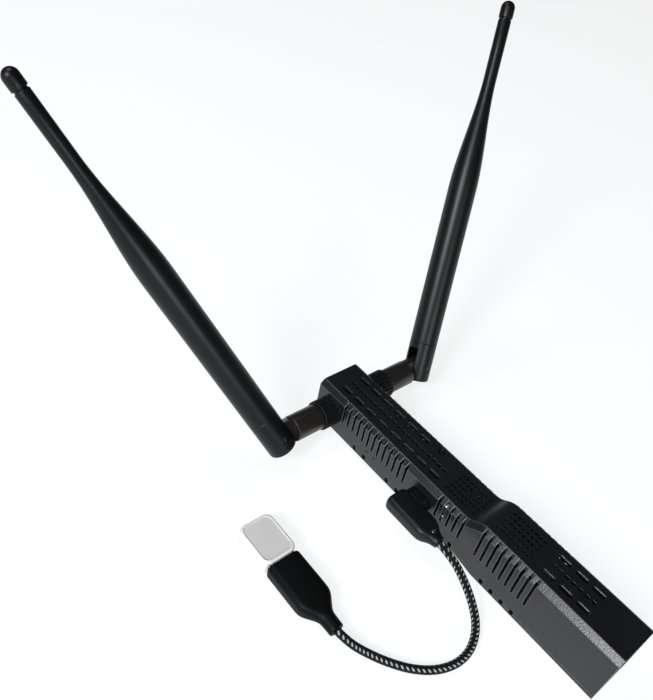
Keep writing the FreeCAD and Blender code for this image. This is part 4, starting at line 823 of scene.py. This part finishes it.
def nut(side):
    """Hexagon nut with chamfered corners."""
    start, end = along_axis("jack_nut")

    def hexagon(s, r, a):
        if r < (THREAD + NUT_FLAT) / 2:
            return r
        flat = NUT_FLAT / math.cos((a + math.pi / 6) % (math.pi / 3) - math.pi / 6)
        return min(flat, NUT_CHAMFER if min(s - start, end - s) < 0.05 else NUT_CORNER)

    profile = [(start, THREAD), (start, NUT_CHAMFER), (start + 0.3, NUT_CORNER), (end - 0.3, NUT_CORNER),
               (end, NUT_CHAMFER), (end, THREAD)]
    bm = lathe(profile, 72, closed=True, shape=hexagon)
    place = swivel_place(side, False) @ ALONG_X
    return piece(side + "_hex_nut", bm, place, "hub", [side + "_jack_nut"], [GOLD])


def collar(side):
    """Ribbed collar: 22 straight grooves between two plain rims."""
    first, last = COLLAR_START + COLLAR_RIM, COLLAR_END - COLLAR_RIM

    def ribs(s, r, a):
        if r < COLLAR_RADIUS - RIB_DEPTH or not first < s < last:
            return r
        depth = RIB_DEPTH * min(1, (s - first) / RIB_RUNOUT, (last - s) / RIB_RUNOUT)
        return r - depth * max(0, math.cos(RIBS * a)) ** 0.7

    near = rounded([(COLLAR_START, 4.9), (COLLAR_START, COLLAR_RADIUS, 0.3), (first, COLLAR_RADIUS)])[:-1]
    ribbed = [(s, COLLAR_RADIUS) for s in (first, first + 0.1, first + RIB_RUNOUT,
                                           last - RIB_RUNOUT, last - 0.1, last)]
    far = rounded([(last, COLLAR_RADIUS), (COLLAR_END, COLLAR_RADIUS, 0.45), (COLLAR_END, 4.25)])[1:]
    seat, shelf = COLLAR_END - SPIGOT_LENGTH - 0.05, COLLAR_START + 1.85
    inside = [(seat, 4.25), (seat, THREAD), (shelf, THREAD), (shelf, 4.9)]
    bm = lathe(near + ribbed + far + inside, 8 * RIBS, closed=True, shape=ribs)
    place = swivel_place(side, False) @ ALONG_X
    return piece(side + "_ribbed_collar", bm, place, "hub", [side + "_collar"], [COLLAR])


def barrel(side):
    """Smooth barrel with a dished end, and the rounded plate that carries the hinge pin."""
    foot = BARREL_START - SPIGOT_LENGTH - 0.25
    profile = [(foot, 0), (foot, SPIGOT, 0.2), (BARREL_START, SPIGOT), (BARREL_START, BARREL_RADIUS, 0.35),
               (BARREL_END, BARREL_RADIUS, 0.35), (BARREL_END, 5.4, 0.15), (BARREL_END - 0.5, 5.1),
               (BARREL_END - 0.5, 0)]
    bm = lathe(rounded(profile), 72)
    bm.transform(ALONG_X)
    root, shoulder = BARREL_END - 1.4, BARREL_END + 0.8
    outline = [(root, 0.3 - PLATE_ROUND), (root, PLATE_ROUND - 0.3), (shoulder, PLATE_ROUND)]
    outline += [(x, z) for z, x in arc(0, PIN_X, PLATE_ROUND, 0, 180, 18)]
    outline += [(shoulder, -PLATE_ROUND)]
    plate = bmesh.new()
    levels = []
    flat = PLATE_HALF - PLATE_EDGE
    for y, inset in ((-PLATE_HALF, PLATE_EDGE), (-flat, 0), (flat, 0), (PLATE_HALF, PLATE_EDGE)):
        level = []
        for x, z in outline:
            away = Vector((x - PIN_X, z))
            if x > BARREL_END - 1:
                away *= 1 - inset / max(away.length, 1)
            level.append(plate.verts.new((PIN_X + away.x, y, away.y)))
        levels.append(level)
    join_rings(plate, levels)
    spin = Matrix.Translation((PIN_X, 0, 0)) @ ACROSS
    absorb(bm, carved(plate, [drum(PIN_RADIUS + 0.05, 8, spin)]))
    return piece(side + "_swivel_barrel", bm, swivel_place(side), side + "_swivel", [side + "_barrel"],
                 [BARREL])


def pin(side):
    """Steel pin with drilled ends, sunk a little below the fork."""
    half, bore, depth = 6.3, 0.62, 1.4
    profile = [(depth - half, 0), (depth - half, bore), (-half, bore, 0.08), (-half, PIN_RADIUS, 0.2),
               (half, PIN_RADIUS, 0.2), (half, bore, 0.08), (half - depth, bore), (half - depth, 0)]
    bm = lathe(rounded(profile), 32)
    place = swivel_place(side) @ Matrix.Translation((PIN_X, 0, 0)) @ ACROSS
    return piece(side + "_steel_pin", bm, place, side + "_antenna", [side + "_hinge_pin"], [OXIDE])


# The paddle, by height above its pin and by radius
FORK_END, FORK_TOP, FORK_HALF, FORK_EDGE = -6.6, 9.4, 2.8, 1.0
JOINT_LINE = 12.3
BODY, BODY_TOP = 6.6, 87.5
ROD, ROD_FROM, ROD_END = 2.95, 138.5, 164.6
TIP, TIP_TOP = 3.2, 173.0
TIP_FOOT = ROD_END + 0.8


def paddle_profile():
    """Flat fork end, joint line, even body, smooth taper, thin rod, and a groove under the cap."""
    profile = [(FORK_END, 0), (FORK_END, FORK_HALF)]
    profile += arc(FORK_END + FORK_EDGE, BODY - FORK_EDGE, FORK_EDGE, 180, 90)
    profile += [(4, BODY), (FORK_TOP, BODY)]
    profile += [(JOINT_LINE + s, BODY - sunk) for s, sunk in ((-0.2, 0), (-0.1, 0.07), (0, 0.2), (0.1, 0.07),
                                                              (0.2, 0))]
    profile += [(s, BODY) for s in (24, 40, 56, 72, BODY_TOP)]
    for k in range(1, 25):
        t = k / 24
        profile.append((BODY_TOP + (ROD_FROM - BODY_TOP) * t, BODY - (BODY - ROD) * smooth(t)))
    profile += [(151, ROD), (ROD_END - 0.3, ROD), (ROD_END - 0.05, ROD - 0.1), (ROD_END, ROD - 0.4),
                (TIP_FOOT, ROD - 0.4), (TIP_FOOT, 0)]
    return profile


def paddle(side):
    """The antenna's shell, with the fork's slot and the pin's hole cut out of it."""
    bm = lathe(paddle_profile(), 96)
    low, sidewise = bmesh.new(), bmesh.new()
    block(low, (1 - BODY, -FORK_HALF, -8), (8, FORK_HALF, 0.02))
    block(sidewise, (0, -FORK_HALF, -0.02), (8, FORK_HALF, FORK_TOP))
    room = drum(BODY - 0.99, 2 * FORK_HALF, ACROSS, 64)
    cutters = [low, sidewise, room, drum(PIN_RADIUS + 0.02, 16, ACROSS)]
    return piece(side + "_antenna_paddle", carved(bm, cutters), paddle_place(side), side + "_antenna",
                 [side + "_paddle"], [ANTENNA])


def tip(side):
    """Rounded tip cap, plugged into the rod."""
    profile = [(TIP_FOOT - 4, 0), (TIP_FOOT - 4, 1.1), (TIP_FOOT, 1.1), (TIP_FOOT, TIP - 0.2),
               (TIP_FOOT + 0.1, TIP - 0.05), (TIP_FOOT + 0.4, TIP)]
    profile += arc(TIP_TOP - TIP, 0, TIP, 90, 0, 9)[:-1]
    profile.append((TIP_TOP, 0))
    bm = lathe(profile, 48)
    return piece(side + "_tip", bm, paddle_place(side), side + "_antenna", [side + "_tip_cap"], [ANTENNA])


for side_name in SIDES:
    for make in (washer, nut, collar, barrel, pin, paddle, tip):
        make(side_name)

# Small hardware of the case

SCREW_FROM_SIDE, SCREW_FROM_NEAR, SCREW_FROM_FAR = 4.5, 27.0, 21.5
SCREW_SEAT, SCREW_HEAD, SCREW_SHANK, SCREW_RECESS = 2.4, 2.2, 1.25, 1.0
FEET_TOP = corners("rear_feet")[1].z
FOOT_RADIUS, FOOT_FROM_SIDE, FOOT_FROM_FAR = 3.2, 5.9, 7.0
BUTTON, BUTTON_STEM, BUTTON_FLANGE = 1.15, 0.98, 1.9
GUIDE_REACH = 2.8
CONTACTS, CONTACT_PITCH, CONTACT_HALVES = 8, 1.02, (0.2, 0.08)
CHIP_HEIGHT, CHIP_GAP = 0.5, 0.3
# Width along X and length along Y of the kinds of chip
CHIP_KINDS = ((0.8, 1.6), (1.2, 2.0), (0.5, 1.0), (1.0, 0.5), (2.4, 2.4))
# Parts of the board that no module covers: from and to along X, from and to along Y
FREE_AREAS = ((-8.6, 8.6, 54.2, 59.6), (-3.4, 8.6, 59.6, 70.0), (-8.6, -6.4, 78.0, 106.0),
              (6.4, 8.6, 78.0, 106.0), (-8.6, 8.6, 14.3, 15.7), (-1.3, 1.3, 107.2, 116.0))


def screws():
    """Four screws with a six-sided recess. The far two sit higher, because the floor is higher there."""
    bm = bmesh.new()

    def six(s, r, a):
        return SCREW_RECESS / math.cos(a % (math.pi / 3) - math.pi / 6) if abs(r - SCREW_RECESS) < 0.01 else r

    top = corners("case_screws")[1].z
    side = COVER_HIGH.x - SCREW_FROM_SIDE
    near, far = COVER_LOW.y + SCREW_FROM_NEAR, COVER_HIGH.y - SCREW_FROM_FAR
    for y, seat in ((near, SCREW_SEAT), (far, SCREW_SEAT + FEET_TOP)):
        length = top - seat
        profile = [(-1.0, 0), (-1.0, SCREW_RECESS), (-1.6, SCREW_RECESS), (-1.6, SCREW_HEAD - 0.3),
                   (-1.5, SCREW_HEAD - 0.1), (-1.2, SCREW_HEAD), (0, SCREW_HEAD), (0, SCREW_SHANK),
                   (length - 1.0, SCREW_SHANK), (length, 0.4), (length, 0)]
        for x in (-side, side):
            absorb(bm, lathe(profile, 48, shape=six), Matrix.Translation((x, y, seat)))
    return piece("hex_screws", bm, Matrix(), "hub", ["case_screws"], [OXIDE])


def feet():
    """Two round rubber feet with a soft lower edge."""
    bm = bmesh.new()
    side = COVER_HIGH.x - FOOT_FROM_SIDE
    y = COVER_HIGH.y - FOOT_FROM_FAR
    for x in (-side, side):
        profile = rounded([(0, 0), (0, FOOT_RADIUS, 0.6), (FEET_TOP, FOOT_RADIUS), (FEET_TOP, 0)])
        absorb(bm, lathe(profile, 40), Matrix.Translation((x, y, 0)))
    return piece("rubber_feet", bm, Matrix(), "hub", ["rear_feet"], [RUBBER])


def button():
    """The mode button with a dished top."""
    low, high = corners("mode_button")
    x, y, _ = middle("mode_button")
    flange = high.z - 2.35
    profile = [(low.z, 0), (low.z, BUTTON_STEM, 0.1), (flange - 0.8, BUTTON_STEM),
               (flange - 0.8, BUTTON_FLANGE), (flange, BUTTON_FLANGE), (flange, BUTTON),
               (high.z, BUTTON, 0.15), (high.z, 0.7, 0.05), (high.z - 0.25, 0.5), (high.z - 0.3, 0)]
    bm = lathe(rounded(profile), 40)
    place = Matrix.Translation((x, y, 0))
    return piece("mode_button_cap", bm, place, "mode_button", ["mode_button"], [ANTENNA])


def light_guide():
    """Acrylic guide that rises from the light chip and turns out into a slot of the case, with a lit end."""
    low, high = corners("light_pipe")
    x, y, _ = middle("light_pipe")
    radius = (high.x - low.x) / 2
    bm = lathe(rounded([(low.z, 0), (low.z, radius), (high.z, radius, 0.4), (high.z, 0)]), 32)
    bm.transform(Matrix.Translation((x, y, 0)))
    rows = [(0, 1.0, 0.8, 0.35), (GUIDE_REACH - 0.8, 1.0, 0.8, 0.35), (GUIDE_REACH - 0.2, 0.7, 0.6, 0.28),
            (GUIDE_REACH - 0.05, 0.6, 0.5, 0.22), (GUIDE_REACH, 0.4, 0.32, 0.15)]
    arm = loft([(s, tall, wide, corner, 0, 0) for s, tall, wide, corner in rows])
    absorb(bm, arm, Matrix.Translation((x, y, high.z + 0.1)) @ OUT_LEFT)
    for face in bm.faces:
        if face.calc_center_median().x < x - GUIDE_REACH + 0.19:
            face.material_index = 1
    return piece("light_guide", bm, Matrix(), "hub", ["light_pipe"], [ACRYLIC, LIGHT_END])


def jack_contacts():
    """Eight bent spring contacts that slope down into the mouth of the network jack."""
    bm = bmesh.new()
    root = corners("network_jack_contacts")[1]
    route = [(root.y - out, root.z - down) for out, down in ((0, 0.05), (7.2, 0.1), (9.4, 0.6), (9.9, 1.3),
                                                             (8.8, 2.0), (2.7, 4.0))]
    half_x, half_z = CONTACT_HALVES
    outline = ((-half_x, -half_z), (half_x, -half_z), (half_x, half_z), (-half_x, half_z))
    for i in range(CONTACTS):
        x = (i - (CONTACTS - 1) / 2) * CONTACT_PITCH
        join_rings(bm, [[bm.verts.new((x + dx, y, z + dz)) for dx, dz in outline] for y, z in route])
    return piece("spring_contacts", bm, Matrix(), "hub", ["network_jack_contacts"], [GOLD])


def board_chips():
    """Small chips and chip resistors on the free parts of the board, none on another."""
    bm = bmesh.new()
    top = corners("main_board")[1].z
    placed = []
    for x0, x1, y0, y1 in FREE_AREAS:
        for _ in range(int((x1 - x0) * (y1 - y0) / 2) + 6):
            wide, long = random.choice(CHIP_KINDS)
            x = random.uniform(x0 + wide / 2, x1 - wide / 2)
            y = random.uniform(y0 + long / 2, y1 - long / 2)
            clear = all(abs(x - other_x) > (wide + other_wide) / 2 + CHIP_GAP
                        or abs(y - other_y) > (long + other_long) / 2 + CHIP_GAP
                        for other_x, other_wide, other_y, other_long in placed)
            if clear and wide < x1 - x0 and long < y1 - y0:
                placed.append((x, wide, y, long))
                block(bm, (x - wide / 2, y - long / 2, top), (x + wide / 2, y + long / 2, top + CHIP_HEIGHT))
    made = piece("board_chips", bm, Matrix(), "hub", [], [EPOXY])
    return made


screws()
feet()
button()
light_guide()
jack_contacts()
board_chips()

# Studio, in metres: a pale light table and soft lights

TABLE_HALF, TABLE_DROP = 4, 0.0002
# Daylight lamps, a little cooler than the table
LAMP_TONE = "#f2f7ff"
# What the backdrop gives the object, and how bright it looks itself
BACKDROP_LIGHT, BACKDROP_SEEN = 0.07, 0.9


def light_table():
    """White acrylic table, lit a little from below so that shadows on it stay faint."""
    mesh = bpy.data.meshes.new("light_table")
    ends = ((-1, -1), (1, -1), (1, 1), (-1, 1))
    mesh.from_pydata([(TABLE_HALF * x, TABLE_HALF * y, -TABLE_DROP) for x, y in ends], [], [(0, 1, 2, 3)])
    made, tree, place = material("opal_acrylic")
    clouds = add(tree, "TexNoise", {"Vector": place, "Scale": per_mm(83.3)})
    shade = add(tree, "Mix", {"Factor": clouds, "A": tone("#7f7f7f"), "B": tone("#838383")}, data_type="RGBA")
    skin = add(tree, "BsdfPrincipled", {"Base Color": shade, "Roughness": 0.9,
                                        "Specular IOR Level": 0.2, "Emission Color": tone("#ffffff"),
                                        "Emission Strength": 0.8})
    add(tree, "OutputMaterial", {"Surface": skin})
    mesh.materials.append(made)
    table = new_object("light_table", mesh)


def softbox(name, at, target, size, power):
    """A rectangular lamp at a place, turned to a target. It isn't seen itself."""
    light = bpy.data.lights.new(name, "AREA")
    light.color = tone(LAMP_TONE)[:3]
    light.shape = "RECTANGLE"
    light.size, light.size_y = size
    light.energy = power
    made = new_object(name, light)
    made.location = at
    made.rotation_euler = (Vector(target) - Vector(at)).to_track_quat("-Z", "Y").to_euler()
    made.visible_camera = False


def surroundings():
    """A pale backdrop that lights the object only a little, so that upward faces stay black."""
    world = bpy.data.worlds.new("studio")
    world.use_nodes = True
    tree = world.node_tree
    tree.nodes.clear()
    seen = add(tree, "LightPath").outputs["Is Camera Ray"]
    level = add(tree, "MapRange", {"Value": seen, "To Min": BACKDROP_LIGHT, "To Max": BACKDROP_SEEN})
    glow = add(tree, "Background", {"Color": (1, 1, 1, 1), "Strength": level})
    add(tree, "OutputWorld", {"Surface": glow})
    scene.world = world


light_table()
# The first lamp shines back from the bevel and the long wall, the second fills that wall, the third draws
# the streaks on the antennas, and the last lifts the antennas' upper sides
softbox("key_left", (-1.42, -0.2, 1.12), (0, 0, 0.02), (0.4, 0.6), 31.0)
softbox("front_left", (-1.01, -0.48, 1.07), (0.08, 0.15, 0.08), (0.28, 0.6), 3.2)
softbox("low_left", (-0.331, -0.974, 0.346), (-0.085, 0.176, 0.101), (0.4, 0.3), 5.3)
softbox("overhead", (-0.17, 0.5, 0.92), (0, 0.1, 0.02), (0.3, 0.3), 2.7)
surroundings()
scene.view_settings.view_transform = "Standard"
